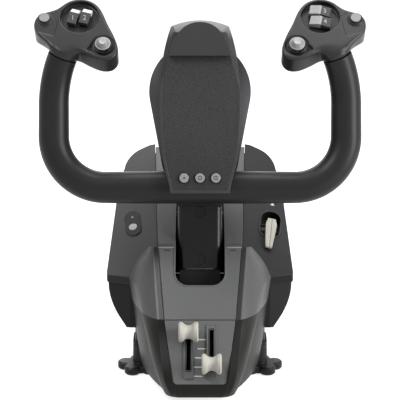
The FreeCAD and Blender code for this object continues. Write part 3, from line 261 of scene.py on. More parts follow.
def edge_wear(start, radius, gain):
    """Normal rounded over the edges, and a mask of them: gain * (1 - cosine between it and the flat one)."""
    soft = start.node("Bevel", {"samples": 6}, {"Radius": radius})
    flat = start.node("NewGeometry", output="True Normal")
    return soft, start.math("MULTIPLY", 1 - soft.along(flat), gain, clamp=True)


def relief(height, normal, strength, distance=0.0001):
    """Bump of a height over a normal."""
    return height.node("Bump", {}, {"Strength": strength, "Distance": distance, "Height": height,
                                    "Normal": normal})


def moulded(name, tint, rough, grain=0.5, grain_size=0.0007, speckle=0.12, edge=0.0006, rub=0.3, mottle=0.12,
            gloss=0.14, coat=0.0, shade=None, groove=None, rubbed_tint=None):
    """Moulded plastic: spark-eroded grain, rounded edges that catch light, polish where hands rub.

    Tone = 1 + speckle * fine noise + mottle * broad noise, times shade, which paints light and shade by
    place; the tint is scaled by it.
    Rubbed edges are paler and smoother. A groove is a mask that sinks and darkens the surface; in the posts'
    thread the darkening is painted shade.
    """
    made, shader, start = new_material(name)
    place = start.node("TexCoord", output="Object")
    fine = noise(place, 1 / grain_size, 2.0, 0.6)
    broad = noise(place, 24.0, 4.0, 0.55)
    soft, rubbed = edge_wear(start, edge, 6.0)
    tone = 1 + (fine - 0.5) * (2 * speckle) + (broad - 0.5) * (2 * mottle)
    if shade is not None:
        tone = tone * shade(place)
    height = fine * grain
    if groove is not None:
        cut = groove(place)
        tone = tone * (1 - cut * 0.75)
        height = height - cut * 4.0
    pale = rubbed_tint or tuple(min(1.0, c * 2.4 + 0.03) for c in tint)
    colour = blend(rubbed * rub, tinted(tint, tone), (*pale, 1))
    uneven = (broad - 0.5) * 0.14 + (fine - 0.5) * 0.1
    polish = start.math("ADD", rough - rubbed * 0.1, uneven, clamp=True)
    feed(shader, Base_Color=colour, Roughness=polish, Normal=relief(height, soft, 0.4, 0.00012),
         Specular_IOR_Level=gloss, Coat_Weight=coat, Coat_Roughness=0.1)
    return made


def finish_nodes(material, *names):
    """Give carried-over CAD pieces their finish."""
    for name in names:
        piece = node[name]
        piece.data.materials.clear()
        piece.data.materials.append(material)


lean = math.radians(15.0)
hub = np.array([0.0, -0.128428, 0.267642])
up_wheel = np.array([0.0, math.sin(lean), math.cos(lean)])
to_pilot = np.array([0.0, -math.cos(lean), math.sin(lean)])


def neck_line(place):
    """Parting line across each neck: it arches over the tube as z = 321.2 - 0.038 (|x| - 150.5)^2 mm."""
    side = abs(place.axis(0))
    bow = side - 0.1505
    off = place.axis(2) - 0.3212 + bow * bow * 38.0
    return (1 - abs(off).step(0.0002, 0.0006)) * side.step(0.1275, 0.129)


def weld_line(place):
    """Fine dark line where the tube's front and back halves meet, and the one at the necks."""
    off = place.along(to_pilot) - float(hub @ to_pilot)
    return off.math("MAXIMUM", 1 - abs(off).step(0.00012, 0.0004), neck_line(place))


grip_black = moulded("grip_black", (0.013, 0.013, 0.014), 0.38, grain=0.7, grain_size=0.0006,
                     speckle=0.22, mottle=0.16, gloss=0.15, groove=weld_line)
finish_nodes(grip_black, "wheel_bar")

# ---------------------------------------------------------------- horns
# Each horn is a hard moulding with a finer grain than the grip, clamped round the tube's end.
# A parting line crosses its neck, and two ledges round the ear and the thumb hat collect polish.
face_centre = np.array([0.1265, -0.109548, 0.353170])
up_face = np.array([0.0, math.sqrt(0.5), math.sqrt(0.5)])
out_face = np.array([0.0, -math.sqrt(0.5), math.sqrt(0.5)])
horn_black = moulded("horn_black", (0.020, 0.020, 0.021), 0.33, grain=0.35, grain_size=0.0005,
                     speckle=0.14, mottle=0.12, edge=0.0009, rub=0.34, gloss=0.19, groove=neck_line)
finish_nodes(horn_black, "left_paddle", "right_paddle", "left_hat_gimbal", "right_hat_gimbal")


def frozen(maker):
    """Mesh of an object with its modifiers or its lettering worked out; the object itself goes."""
    bpy.context.view_layer.update()
    mesh = bpy.data.meshes.new_from_object(maker.evaluated_get(bpy.context.evaluated_depsgraph_get()))
    bpy.data.objects.remove(maker)
    return mesh


def points_of(mesh):
    """A mesh's points, one row each."""
    points = np.zeros(len(mesh.vertices) * 3)
    mesh.vertices.foreach_get("co", points)
    return points.reshape(-1, 3)


def remeshed(name, voxel):
    """Closed mesh of even small faces round a CAD node's shape, whose loose triangles are merged first."""
    shape = bmesh.new()
    shape.from_mesh(node[name].data)
    bmesh.ops.remove_doubles(shape, verts=shape.verts, dist=1e-6)
    mesh = bpy.data.meshes.new(name + "_shell")
    shape.to_mesh(mesh)
    shape.free()
    draft = linked(name + "_draft", mesh)
    remesh = draft.modifiers.new("remesh", "REMESH")
    remesh.mode = "VOXEL"
    remesh.voxel_size = voxel
    remesh.adaptivity = 0.0
    return frozen(draft)


def neck_weight(points, side):
    """Smoothstep from 0 to 1 over the outer 14 mm of an egg-shaped space round the neck's crease."""
    crease = np.array([side * 0.1400, -0.119, 0.3185])
    reach, fall = 0.030, 0.014
    distance = np.linalg.norm((points - crease) * (0.8, 1.0, 1.5), axis=1)
    weight = np.clip((reach - distance) / fall, 0, 1)[:, None]
    return weight * weight * (3 - 2 * weight)


def ear_hole(points, button):
    """Which points line the ear button's hole, and which of them are its floor."""
    low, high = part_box(button)
    off_middle = points - np.array((low + high) / 2)
    depth = off_middle @ out_face
    off_axis = np.linalg.norm(off_middle - depth[:, None] * out_face, axis=1)
    lining = (off_axis < 0.0068) & (np.abs(depth) < 0.009)
    return lining, lining & (depth < -0.0045)


def flowing_horn(name, side):
    """Horn whose neck flows into its head, as the mould's does.

    The CAD shell is merged and remeshed. Each pass then moves every point towards the mean of its
    neighbours by half its weight. The weight falls smoothly from 1 at the neck's crease to 0 away
    from it, and the first few passes have a trace of it everywhere, which rounds the moulding's
    edges by a hair. The ear button's hole keeps its size, and its floor is sunk for the travel.
    """
    voxel, floor_drop, edge_trace, edge_passes, passes = 0.00055, 0.0009, 0.45, 4, 200
    smooth = remeshed(name, voxel)
    points = points_of(smooth)
    edges = np.zeros(len(smooth.edges) * 2, int)
    smooth.edges.foreach_get("vertices", edges)
    first, second = edges.reshape(-1, 2).T
    valence = np.bincount(edges, minlength=len(points))[:, None]
    neck = neck_weight(points, side)
    lining, floor = ear_hole(points, name.split("_")[0] + "_ear_button")
    points = points - np.where(floor, floor_drop, 0.0)[:, None] * out_face
    everywhere = np.maximum(neck, np.where(lining, 0.0, edge_trace)[:, None])
    for step in range(passes):
        weight = everywhere if step < edge_passes else neck
        total = np.zeros_like(points)
        np.add.at(total, first, points[second])
        np.add.at(total, second, points[first])
        points = points + (total / valence - points) * (0.5 * weight)
    smooth.vertices.foreach_set("co", points.ravel())
    smooth.polygons.foreach_set("use_smooth", np.ones(len(smooth.polygons), bool))
    smooth.materials.clear()
    smooth.materials.append(horn_black)
    smooth.update()
    piece = linked(name + "_moulding", smooth)
    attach(piece, "wheel")
    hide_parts(name)


flowing_horn("left_horn", -1)
flowing_horn("right_horn", 1)


def plane(origin, right, up):
    """Working plane: columns are its right, up and outward directions, then its origin."""
    right = np.array(right, float) / np.linalg.norm(right)
    up = np.array(up, float)
    up = up - right * (up @ right)
    up /= np.linalg.norm(up)
    return np.column_stack([right, up, np.cross(right, up), np.array(origin, float)])


def skin(name, points, material, body, wrap=(True, True), smooth=30.0):
    """Piece from a grid of points: quad (i, j) joins its four neighbours, wrapping where told.

    Doubles are merged and the normals recalculated, so poles close and faces point outwards.
    """
    rows, columns = points.shape[:2]
    index = np.arange(rows * columns).reshape(rows, columns)
    if wrap[0]:
        index = np.vstack([index, index[:1]])
    if wrap[1]:
        index = np.hstack([index, index[:, :1]])
    quads = np.stack([index[:-1, :-1], index[1:, :-1], index[1:, 1:], index[:-1, 1:]], -1).reshape(-1, 4)
    mesh = bpy.data.meshes.new(name)
    mesh.from_pydata(points.reshape(-1, 3).tolist(), [], quads.tolist())
    shape = bmesh.new()
    shape.from_mesh(mesh)
    bmesh.ops.remove_doubles(shape, verts=shape.verts, dist=2e-6)
    bmesh.ops.dissolve_degenerate(shape, edges=shape.edges, dist=1e-6)
    bmesh.ops.recalc_face_normals(shape, faces=shape.faces)
    shape.to_mesh(mesh)
    shape.free()
    mesh.polygons.foreach_set("use_smooth", np.ones(len(mesh.polygons), bool))
    mesh.set_sharp_from_angle(angle=math.radians(smooth))
    mesh.materials.append(material)
    piece = linked(name, mesh)
    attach(piece, body)


def rounded(width, length, radius, count=48):
    """Rounded rectangle: a circle of the radius, pushed out to the four corner centres."""
    turn = (np.arange(count) + 0.5) * 2 * np.pi / count
    normal = np.column_stack([np.cos(turn), np.sin(turn)])
    corner = np.column_stack([np.sign(normal[:, 0]) * (width / 2 - radius),
                              np.sign(normal[:, 1]) * (length / 2 - radius)])
    return corner + normal * radius, normal


def on_plane(working, flat, height, centre=(0.0, 0.0)):
    """Points (x, y) round a centre in a working plane, each at its height over it."""
    x, y = flat[..., 0] + centre[0], flat[..., 1] + centre[1]
    return (x[..., None] * working[:, 0] + y[..., None] * working[:, 1]
            + np.broadcast_to(height, x.shape)[..., None] * working[:, 2] + working[:, 3])


def bead(name, loop, profile, working, material, body, centre=(0.0, 0.0)):
    """Raised ring: point (i, j) = loop i + its normal * offset j, at height j."""
    ring, normal = loop
    offset, height = profile.T
    flat = ring[:, None] + normal[:, None] * offset[None, :, None]
    skin(name, on_plane(working, flat, height, centre), material, body)


def inlay(name, outline, rings, working, material, body, centre=(0.0, 0.0)):
    """Domed pad: ring j is the outline drawn in by inset j, at height j; the last ring closes it."""
    inset, height = np.array(rings, float).T
    flat = np.stack([rounded(*(max(size - by * draw, 0.0) for size, by in zip(outline, (2, 2, 1))))[0]
                     for draw in inset], 1)
    skin(name, on_plane(working, flat, height, centre), material, body, wrap=(True, False))


def round_profile(width, rise, sink=0.0003, count=9):
    """Half an ellipse of the width and rise, closed under the surface."""
    turn = np.linspace(0, np.pi, count)
    bow = np.column_stack([np.cos(turn) * width / 2, np.sin(turn) * rise])
    return np.vstack([bow, [[-width / 2, -sink], [width / 2, -sink]]])


# ---------------------------------------------------------------- horn keys
# Two hard keys sit in the round well of each horn. Each is charcoal, with a painted highlight that
# makes its upper facet milky, and the lower facet carries a plain printed numeral.
left_face = plane(face_centre * (-1, 1, 1), (1, 0, 0), up_face)
right_face = plane(face_centre, (1, 0, 0), up_face)


def facet_painted_highlight(name, working, centre, turn, ridge, pale_side, pale_tint):
    """Key plastic: charcoal, with a painted highlight that makes it pale on one side of the ridge line."""
    direction = working[:, 0] * math.cos(turn) + working[:, 1] * math.sin(turn)
    origin = working[:, 3] + working[:, 0] * centre[0] + working[:, 1] * centre[1]
    made, shader, start = new_material(name)
    place = start.node("TexCoord", output="Object")
    past_ridge = place.along(direction * pale_side) - float(origin @ direction) * pale_side - ridge
    fine = noise(place, 1900.0)
    broad = noise(place, 90.0, 3.0)
    soft, rubbed = edge_wear(start, 0.0006, 5.0)
    tone = 1 + (fine - 0.5) * 0.2 + (broad - 0.5) * 0.3
    charcoal = tinted((0.038, 0.038, 0.04), tone + rubbed * 2.0)
    colour = blend(past_ridge.step(-0.0001, 0.0001), charcoal, tinted(pale_tint, tone))
    feed(shader, Base_Color=colour, Roughness=0.34 + (broad - 0.5) * 0.2, Normal=relief(fine, soft, 0.2),
         Specular_IOR_Level=0.22)
    return made


key_print = moulded("key_print", (0.30, 0.30, 0.295), 0.5, grain=0.1, speckle=0.05, edge=0.00005, rub=0.0)


def numeral(figure, size, working, centre, turn, height, slope, body):
    """Plain figure, printed a hair proud of a facet that slopes along the key."""
    curve = bpy.data.curves.new(f"numeral_{figure}", "FONT")
    curve.body = figure
    curve.size = size
    curve.extrude = 0.00006
    curve.align_x, curve.align_y = "CENTER", "CENTER"
    mesh = frozen(linked(f"numeral_{figure}_text", curve))
    points = points_of(mesh)
    run = math.cos(turn) * points[:, 0] + math.sin(turn) * points[:, 1]
    placed = on_plane(working, points[:, :2], points[:, 2] + height + run * slope, centre)
    mesh.vertices.foreach_set("co", placed.ravel())
    mesh.materials.clear()
    mesh.materials.append(key_print)
    piece = linked(f"numeral_{figure}", mesh)
    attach(piece, body)


key_crest, print_lift = 0.0034, 0.0001
long_turn, long_ridge, long_drop, long_slope = math.radians(74.0), 0.0032, 0.0032, 0.1928
for across, name, figure, body in ((-0.0062, "left_key_1", "1", "key_1"),
                                   (0.0062, "left_key_2", "2", "key_2")):
    plastic = facet_painted_highlight(name + "_plastic", left_face, (across, 0.0), long_turn, long_ridge, 1,
                       (0.55, 0.55, 0.54))
    finish_nodes(plastic, name)
    centre = (across - long_drop * math.cos(long_turn), -long_drop * math.sin(long_turn))
    numeral(figure, 0.0078, left_face, centre, long_turn,
            key_crest - (long_ridge + long_drop) * long_slope + print_lift, long_slope, body)
short_turn, short_ridge, short_run, short_slope = math.radians(-12.0), -0.0010, 0.0048, 0.196
for up, name, figure, body in ((0.0068, "right_key_3", "3", "key_3"),
                               (-0.0068, "right_key_4", "4", "key_4")):
    plastic = facet_painted_highlight(name + "_plastic", right_face, (0.0, up), short_turn, short_ridge, -1,
                       (0.24, 0.24, 0.24))
    finish_nodes(plastic, name)
    numeral(figure, 0.0074, right_face, (short_run, up - 0.0010), short_turn,
            key_crest - (short_run - short_ridge) * short_slope + print_lift, -short_slope, body)

# ---------------------------------------------------------------- thumb hats and ear buttons
# The hat is a grey hard cap with a dished top, on a collar that leans with it. The ear button is
# a push cap in a black moulded collar; both are polished by thumbs, and a painted highlight makes them paler
# on their tops.


def thumb_wear_and_painted_top(name, tint, top, edge_rub):
    """Grey cap: a painted highlight lightens the tint where the cap faces the pilot, and painted shade
    darkens it down its sides.
    """
    made, shader, start = new_material(name)
    place = start.node("TexCoord", output="Object")
    painted_top_highlight = start.node("TexCoord", output="Normal").along(out_face).step(0.55, 0.97)
    fine = noise(place, 1600.0)
    broad = noise(place, 120.0, 3.0)
    soft, rubbed = edge_wear(start, 0.0007, 5.0)
    tone = 1 + (fine - 0.5) * 0.25 + (broad - 0.5) * 0.35 + rubbed * edge_rub
    colour = blend(painted_top_highlight, tinted(tint, tone), tinted(top, tone))
    feed(shader, Base_Color=colour, Roughness=0.38 + (broad - 0.5) * 0.2, Normal=relief(fine, soft, 0.25),
         Specular_IOR_Level=0.22)
    return made


hat_grey = thumb_wear_and_painted_top("hat_grey", (0.17, 0.17, 0.17), (0.30, 0.30, 0.30), 0.5)
ear_grey = thumb_wear_and_painted_top("ear_grey", (0.05, 0.05, 0.05), (0.20, 0.20, 0.20), 0.6)
finish_nodes(hat_grey, "left_hat", "right_hat")
finish_nodes(ear_grey, "left_ear_button", "right_ear_button")
collar_black = moulded("collar_black", (0.012, 0.012, 0.013), 0.3, grain=0.2, gloss=0.18, edge=0.0003)
collar_width = 0.0136
for side, working in (("left", left_face), ("right", right_face)):
    low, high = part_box(f"{side}_ear_button")
    middle = np.array((low + high) / 2) - working[:, 3]
    bead(f"{side}_ear_collar", rounded(collar_width, collar_width, collar_width / 2),
         round_profile(0.0013, 0.0007), working, collar_black, "wheel",
         (float(middle @ working[:, 0]), float(middle @ working[:, 1])))

# ---------------------------------------------------------------- hub
# A moulded tray on the roll shaft, closed by a panel with a coarse speckled grain. A folding clip
# for a chart lies on the panel's top, and three small push buttons sit in a row over its foot.


def hub_height(place):
    """Height of a place up the hub's face, from the roll axis."""
    return place.along(up_wheel) - float(hub @ up_wheel)


def brow_painted_highlight(place):
    """Painted highlight: the sloped brow and shoulders are painted paler the nearer they are to the hub's
    top.
    """
    return 1 + hub_height(place).step(0.060, 0.080) * 4.2


def panel_painted_shade(place):
    """Painted light and shade: the panel is a little paler at its middle and darker to its head and foot."""
    high = hub_height(place)
    return 0.9 + high.step(-0.10, -0.02) * 0.2 - high.step(0.02, 0.062) * 0.12


hub_speckle = moulded("hub_speckle", (0.031, 0.031, 0.032), 0.56, grain=1.3, grain_size=0.0011,
                      speckle=0.9, mottle=0.08, gloss=0.11, shade=panel_painted_shade)
hub_tray = moulded("hub_tray", (0.034, 0.034, 0.035), 0.40, grain=0.6, grain_size=0.0008, speckle=0.25,
                   rub=0.8, gloss=0.18, shade=brow_painted_highlight)
clip_charcoal = moulded("clip_charcoal", (0.032, 0.032, 0.033), 0.5, grain=0.7, grain_size=0.0009,
                        speckle=0.35, edge=0.0008, rub=0.4)
button_satin = moulded("button_satin", (0.22, 0.22, 0.215), 0.36, grain=0.15, speckle=0.06, rub=0.5,
                       mottle=0.2, gloss=0.20, rubbed_tint=(0.75, 0.75, 0.74))
mark_ink = moulded("mark_ink", (0.055, 0.055, 0.055), 0.5, grain=0.1, speckle=0.05, edge=0.00005, rub=0.0)
finish_nodes(hub_speckle, "hub_panel")
finish_nodes(hub_tray, "hub_shell")
finish_nodes(clip_charcoal, "chart_clip")
finish_nodes(button_satin, "left_hub_button", "middle_hub_button", "right_hub_button")
button_pitch, button_row, cap_height, panel_height = 0.0165, -0.0824, 0.0272, 0.0250
cap_face = plane(hub + to_pilot * cap_height, (1, 0, 0), up_wheel)
panel_face = plane(hub + to_pilot * panel_height, (1, 0, 0), up_wheel)
flat_mark = [(0.0, -0.0002), (0.0, 0.00010), (0.00008, 0.00016), (0.003, 0.00016)]
dot, bar = (0.0022, 0.0022, 0.0011), (0.0048, 0.0007, 0.0003)
marks = [("hub_left_mark_0", dot, "hub_left", -button_pitch, 0.0)]
marks += [(f"hub_right_mark_{count}", bar, "hub_right", button_pitch, 0.0016 * (1 - count))
          for count in range(3)]
for name, outline, body, across, shift in marks:
    inlay(name, outline, flat_mark, cap_face, mark_ink, body, (across, button_row + shift))
bead("hub_middle_mark", rounded(0.0036, 0.0036, 0.0018), round_profile(0.0008, 0.00016), cap_face, mark_ink,
     "hub_middle", (0.0, button_row))
for across, side in ((-button_pitch, "left"), (0.0, "middle"), (button_pitch, "right")):
    bead(f"{side}_button_ring", rounded(0.0112, 0.0112, 0.0056), round_profile(0.0009, 0.0005), panel_face,
         collar_black, "wheel", (across, button_row))

# ---------------------------------------------------------------- column
# The pendulum's casing is two glossy black covers, screwed from the front under two round plugs.
# Its head hides behind the hub; its foot swings in the housing's slot over a dark skirt.


def cheek_painted_sheen(place):
    """Painted sheen: the head's cheeks are painted paler towards both sides, as if they caught the room, and
    stay black in the middle.
    """
    across, high = place.axis(0), place.axis(2)
    left, right = (0 - across).step(0.026, 0.052), across.step(0.026, 0.056)
    return 0.8 + (left * 14.0 + right * 15.0) * high.step(0.17, 0.23)


column_gloss = moulded("column_gloss", (0.008, 0.008, 0.0085), 0.27, grain=0.15, speckle=0.1, mottle=0.1,
                       gloss=0.16, edge=0.0008, rub=0.07, coat=0.07, shade=cheek_painted_sheen)
plug_black = moulded("plug_black", (0.011, 0.011, 0.012), 0.42, grain=0.3, edge=0.0004, rub=0.15)
skirt_black = moulded("skirt_black", (0.013, 0.013, 0.014), 0.5)
finish_nodes(column_gloss, "column_front_cover", "column_rear_cover")
finish_nodes(plug_black, "column_plugs")
finish_nodes(skirt_black, "column_skirt")

# ---------------------------------------------------------------- housing
# A lower tray and two sloping side covers meet at a level lip. All are grained black plastic,
# darker on the tray; a rubber pad and steel plate are under them, a socket for a lead is behind.


def cover_painted_shade(place):
    """Painted shade: the covers' upright lip is darkened as if in the roof edge's shade, and painted shade
    makes their tone fall slowly to the right.
    """
    lip = 0.42 + place.axis(2).step(0.0605, 0.0625) * 0.58
    return lip * (1 - place.axis(0).step(-0.05, 0.05) * 0.70)


cover_grain = moulded("cover_grain", (0.056, 0.056, 0.057), 0.48, grain=0.6, grain_size=0.0008,
                      speckle=0.22, mottle=0.10, edge=0.0007, rub=0.35, shade=cover_painted_shade)
tray_grain = moulded("tray_grain", (0.013, 0.013, 0.0135), 0.5, grain=0.6, grain_size=0.0008, speckle=0.25)
socket_black = moulded("socket_black", (0.02, 0.02, 0.02), 0.35, grain=0.1, gloss=0.20)
rubber = moulded("rubber", (0.012, 0.012, 0.012), 0.75, grain=1.0, grain_size=0.0012, speckle=0.3, gloss=0.09)
board = moulded("board_green", (0.006, 0.02, 0.011), 0.4, grain=0.2, speckle=0.2, gloss=0.18)
finish_nodes(cover_grain, "left_side_cover", "right_side_cover")
finish_nodes(tray_grain, "lower_housing", "rear_panel", "slot_liner")
finish_nodes(socket_black, "usb_socket")
finish_nodes(rubber, "desk_pad", "jaw_pad")
finish_nodes(board, "control_board")


def metal(name, tint, rough, brush):
    """Bare or blackened steel: noise drawn out along one axis as brushing, and faint stains."""
    made, shader, start = new_material(name)
    place = start.node("TexCoord", output="Object")
    drawn = start.node("Mapping", {}, {"Vector": place, "Scale": brush})
    lines = noise(drawn, 700.0, 3.0)
    stain = noise(place, 35.0, 5.0)
    tone = 1 + (lines - 0.5) * 0.3 + (stain - 0.5) * 0.3
    soft = start.node("Bevel", {"samples": 4}, {"Radius": 0.0004})
    feed(shader, Base_Color=tinted(tint, tone), Roughness=rough + (stain - 0.5) * 0.2, Metallic=1.0,
         Normal=relief(lines, soft, 0.15))
    return made


black_oxide = metal("black_oxide", (0.05, 0.05, 0.05), 0.5, (1, 12, 1))
turned_steel = metal("turned_steel", (0.5, 0.5, 0.5), 0.28, (12, 1, 1))
finish_nodes(black_oxide, "base_plate", "steel_frame", "housing_screws")
finish_nodes(turned_steel, "pitch_axle", "pitch_bearings", "roll_bearings", "roll_shaft", "clip_pin",
             "column_arm")

# ---------------------------------------------------------------- spine and faceplate
# Lighter grey plates run down the middle: two strips beside the slot, then the faceplate with the
# slot's round end. The plates end in a fine step at the crest, painted pale as a highlight, and a bead rims
# the slot.


def plate_painted_shade(place):
    """Painted shade: tone falls slowly towards the right."""
    return 1.04 - place.axis(0).step(-0.045, 0.045) * 0.12


plate_grey = moulded("plate_grey", (0.108, 0.109, 0.110), 0.5, grain=0.6, speckle=0.16, mottle=0.07,
                     shade=plate_painted_shade)
finish_nodes(plate_grey, "spine_cover", "faceplate", "throttle_panel")
crest, seam, chin = np.array([(0, -0.1206, 0.1038), (0, -0.1761, 0.0395), (0, -0.2117, -0.0201)])
faceplate_plane = plane(seam, (1, 0, 0), crest - seam)
crest_plane = plane(crest, (1, 0, 0), crest - seam)


def slot_path():
    """U round the slot: straight sides joined by quarter circles of 14 mm at the front end."""
    length = float(np.linalg.norm(crest - seam))
    slot_front = -0.150
    front = (slot_front - seam[1]) / (crest[1] - seam[1]) * length
    half, radius = 0.0266, 0.014
    turn = np.linspace(0, np.pi / 2, 14)
    left = np.column_stack([-half + radius - radius * np.cos(turn), front + radius - radius * np.sin(turn)])
    left_normal = np.column_stack([-np.cos(turn), -np.sin(turn)])
    right, right_normal = (left * (-1, 1))[::-1], (left_normal * (-1, 1))[::-1]
    run = np.linspace(length - 0.0006, front + radius + 0.001, 12)
    start = np.column_stack([np.full(12, -half), run])
    end = np.column_stack([np.full(12, half), run[::-1]])
    path = np.vstack([start, left, right, end])
    straight = np.tile((1.0, 0.0), (12, 1))
    return path, np.vstack([-straight, left_normal, right_normal, straight])


def slot_rim():
    """Bead along the U: point (i, j) = path i + normal * offset j, at height j; both ends drawn shut."""
    path, normal = slot_path()
    offset, height = round_profile(0.0017, 0.0007, 0.0006).T
    outside_slot = 0.0009
    flat = path[:, None] + normal[:, None] * (offset + outside_slot)[None, :, None]
    points = on_plane(faceplate_plane, flat, height)
    ends = [np.broadcast_to(points[i].mean(0), points[i].shape)[None] for i in (0, -1)]
    rings = np.concatenate([ends[0], points, ends[1]])
    skin("slot_rim", rings, plate_grey, "base", wrap=(False, True))


slot_rim()
crest_painted_highlight = moulded("crest_painted_highlight", (0.30, 0.30, 0.30), 0.4, grain=0.2, gloss=0.18)
step_rings = [(0.0, -0.0004), (0.0, 0.0003), (0.0002, 0.0007), (0.0006, 0.0008)]
slit_rings = [(0.0, -0.0003), (0.0, 0.00008), (0.0001, 0.0001), (0.0005, 0.0001)]
# Each crest bead is a pale step painted as a highlight, and each slot beside it is a flat black inlay painted
# as the shade inside a slot.
for name, side in (("left", -1), ("right", 1)):
    inlay(f"crest_bead_{name}", (0.0165, 0.0012, 0.0006), step_rings, crest_plane, crest_painted_highlight, "base",
          (side * 0.0368, -0.0006))
    inlay(f"slot_painted_shade_{name}", (0.0062, 0.0010, 0.0005), slit_rings, crest_plane, collar_black, "base",
          (side * 0.0358, -0.0040))

# ---------------------------------------------------------------- nose
# The nose hangs in front of the desk. Two hoods wrap its shoulders and close on a one-piece cowl
# along a curved seam; painted shade makes the cowl's rim darker than its side walls, which are painted paler,
# a warm olive grey.


def zoned_painted_light(place, rim, between, wall):
    """Painted light by zone: a strip of painted shade along the plates' edges, the lobe beside it, then the
    side wall.

    The strip's outer line is |x| = 43.4 + 0.112 (z - 39.5) mm on the hoods; a wall is where the
    surface turns more than about 45 degrees to the side.
    """
    past = (abs(place.axis(0)) - (place.axis(2) - 0.0395) * 0.112).step(0.0428, 0.0438)
    turned = abs(place.node("TexCoord", output="Normal").axis(0)).step(0.60, 0.74)
    return rim + past * (between - rim) + turned * (wall - between)


def hood_painted_light(place):
    """Painted light on a hood: a painted highlight makes the lobe pale beside a near-black strip of painted
    shade.
    """
    return zoned_painted_light(place, 0.10, 1.35, 1.30)


def cowl_painted_light(place):
    """Painted shade makes the cowl's rim dark, and painted light makes its walls a little paler."""
    return zoned_painted_light(place, 0.26, 0.34, 0.40)


hood_satin = moulded("hood_satin", (0.056, 0.056, 0.057), 0.36, grain=0.4, speckle=0.16, mottle=0.10,
                     gloss=0.26, edge=0.0007, rub=0.14, shade=hood_painted_light)
cowl_satin = moulded("cowl_satin", (0.030, 0.030, 0.027), 0.42, grain=0.45, speckle=0.2, gloss=0.12,
                     edge=0.0007, rub=0.14, shade=cowl_painted_light)
finish_nodes(hood_satin, "left_hood", "right_hood")
finish_nodes(cowl_satin, "nose_cowl")

# ---------------------------------------------------------------- throttle levers
# Two slide levers run in framed slots in the nose's lower panel, on trays behind it. The knobs
# are warm grey hourglass mouldings, and five printed ticks stand between the slots.


def lifted(working, height):
    """The same working plane, further out."""
    return np.column_stack([working[:, :3], working[:, 3] + working[:, 2] * height])


panel_plane = plane(seam, (1, 0, 0), seam - chin)
raised_plane = lifted(panel_plane, 0.0012)
slot_black = moulded("slot_black", (0.006, 0.006, 0.006), 0.6, grain=0.3, gloss=0.09)
knob_warm = moulded("knob_warm", (0.38, 0.367, 0.325), 0.42, grain=0.2, grain_size=0.0009, speckle=0.05,
                    mottle=0.10, gloss=0.18, edge=0.0008, rub=0.35, rubbed_tint=(0.72, 0.70, 0.65))
tick_print = moulded("tick_print", (0.50, 0.50, 0.49), 0.5, grain=0.1, speckle=0.08, edge=0.00005, rub=0.0)
finish_nodes(slot_black, "throttle_tracks", "left_throttle_slider", "right_throttle_slider")
finish_nodes(knob_warm, "left_throttle_knob", "right_throttle_knob")
tick_rings = [(0.0, -0.0002), (0.0, 0.00006), (0.0001, 0.0001), (0.0006, 0.0001)]
short_tick, middle_tick = 0.0092, 0.0108
for count, (length, across, down) in enumerate(((short_tick, 0.0020, 0.0212), (short_tick, 0.0020, 0.0310),
                                                (middle_tick, 0.0, 0.0407), (short_tick, -0.0020, 0.0505),
                                                (short_tick, -0.0020, 0.0603))):
    inlay(f"tick_{count + 1}", (length, 0.0011, 0.0003), tick_rings, panel_plane, tick_print, "base",
          (across, -down))
for side, across in (("left", -0.0122), ("right", 0.0122)):
    bead(f"{side}_slot_frame", rounded(0.0100, 0.0570, 0.0015), round_profile(0.0010, 0.0004, 0.0004),
         raised_plane, plate_grey, "base", (across, -0.0340))
    bead(f"{side}_slot_lip", rounded(0.0052, 0.0456, 0.0012), round_profile(0.0010, 0.0003, 0.0004),
         raised_plane, collar_black, "base", (across, -0.0325))

# ---------------------------------------------------------------- gear lever and power button
# A cream lever hangs from a black oval well in the right cover. In the left cover a capsule button
# sits in a ring: it carries a small lamp and a plain disc.


def roof_plane(side, x, y):
    """Plane of a side cover's roof: it climbs 0.67 to the back and falls 0.194 to the side."""
    climb, fall = 0.67, 0.194
    z = 0.062 + (y + 0.096) * climb - (x - 0.078) * fall
    return plane((side * x, y, z), (1, 0, -fall * side), (0, 1, climb))


gear_plane, power_plane = roof_plane(1, 0.080, -0.033), roof_plane(-1, 0.076, -0.0325)
rim_grey = moulded("rim_grey", (0.045, 0.045, 0.046), 0.36, grain=0.3, gloss=0.18, edge=0.0004, rub=0.5)
well_black = moulded("well_black", (0.009, 0.009, 0.0095), 0.34, grain=0.2, gloss=0.18, rub=0.5)
finish_nodes(well_black, "gear_well")
finish_nodes(knob_warm, "gear_lever")
bead("well_rim", rounded(0.0244, 0.0408, 0.0122, 72), round_profile(0.0012, 0.0007), gear_plane, rim_grey,
     "base")


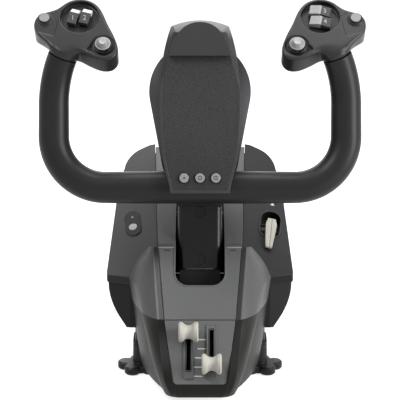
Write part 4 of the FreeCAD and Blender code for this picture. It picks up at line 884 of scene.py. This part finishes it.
def up_arrow():
    """Plain arrow head: an isosceles triangle whose rings are drawn in to its middle."""
    corners = np.array([(0.0, 0.0028), (-0.0025, -0.0016), (0.0025, -0.0016), (0.0, 0.0028)])
    share = np.linspace(0, 3, 49)[:-1]
    side = share.astype(int)
    edge = corners[side] + (corners[side + 1] - corners[side]) * (share - side)[:, None]
    scale = np.array([1.0, 1.0, 0.97, 0.0])
    height = np.array([-0.0002, 0.00008, 0.00012, 0.00012])
    points = on_plane(gear_plane, edge[:, None] * scale[None, :, None], height, (0.0, 0.0315))
    skin("up_arrow", points, tick_print, "base", wrap=(True, False))


up_arrow()
capsule = moulded("capsule", (0.014, 0.014, 0.015), 0.42, grain=0.4, speckle=0.15, gloss=0.16,
                  edge=0.0008, rub=0.45)
disc_pale = moulded("disc_pale", (0.42, 0.42, 0.41), 0.36, grain=0.15, speckle=0.06, gloss=0.20)
finish_nodes(capsule, "power_button")
bead("capsule_ring", rounded(0.0172, 0.0372, 0.0086, 72), round_profile(0.0016, 0.0006), power_plane,
     collar_black, "base")
capsule_top = lifted(power_plane, 0.0010)
lamp_rings = [(0.0, -0.0002), (0.0, 0.0002), (0.0003, 0.0004), (0.001, 0.0005)]
disc_rings = [(0.0, -0.0002), (0.0, 0.0003), (0.0004, 0.0007), (0.0048, 0.0010)]
inlay("power_lamp", (0.0020, 0.0020, 0.0010), lamp_rings, capsule_top, tick_print, "power",
      (0.0, 0.0092))
inlay("power_disc", (0.0096, 0.0096, 0.0048), disc_rings, capsule_top, disc_pale, "power",
      (-0.0004, -0.0056))

# ---------------------------------------------------------------- clamp
# A black jaw rises under the desk on two threaded posts. Each post is turned by a lobed knob
# moulded on its foot, and shows between the knob and the housing.


def post_thread_painted_shade(place):
    """Helix of ridges on the posts above the knobs, every 2 mm; the darker troughs are painted shade."""
    high = place.axis(2)
    wave = high.math("SINE", high * (2 * math.pi / 0.002))
    return wave.step(0.1, 0.9) * high.step(-0.022, -0.016) * 0.35


clamp_black = moulded("clamp_black", (0.012, 0.012, 0.012), 0.36, grain=0.4, grain_size=0.0008, speckle=0.2,
                      gloss=0.19, edge=0.0010, rub=0.5, groove=post_thread_painted_shade)
jaw_black = moulded("jaw_black", (0.012, 0.012, 0.012), 0.45, grain=0.6)
finish_nodes(clamp_black, "left_clamp_screw", "right_clamp_screw")
finish_nodes(jaw_black, "clamp_jaw")
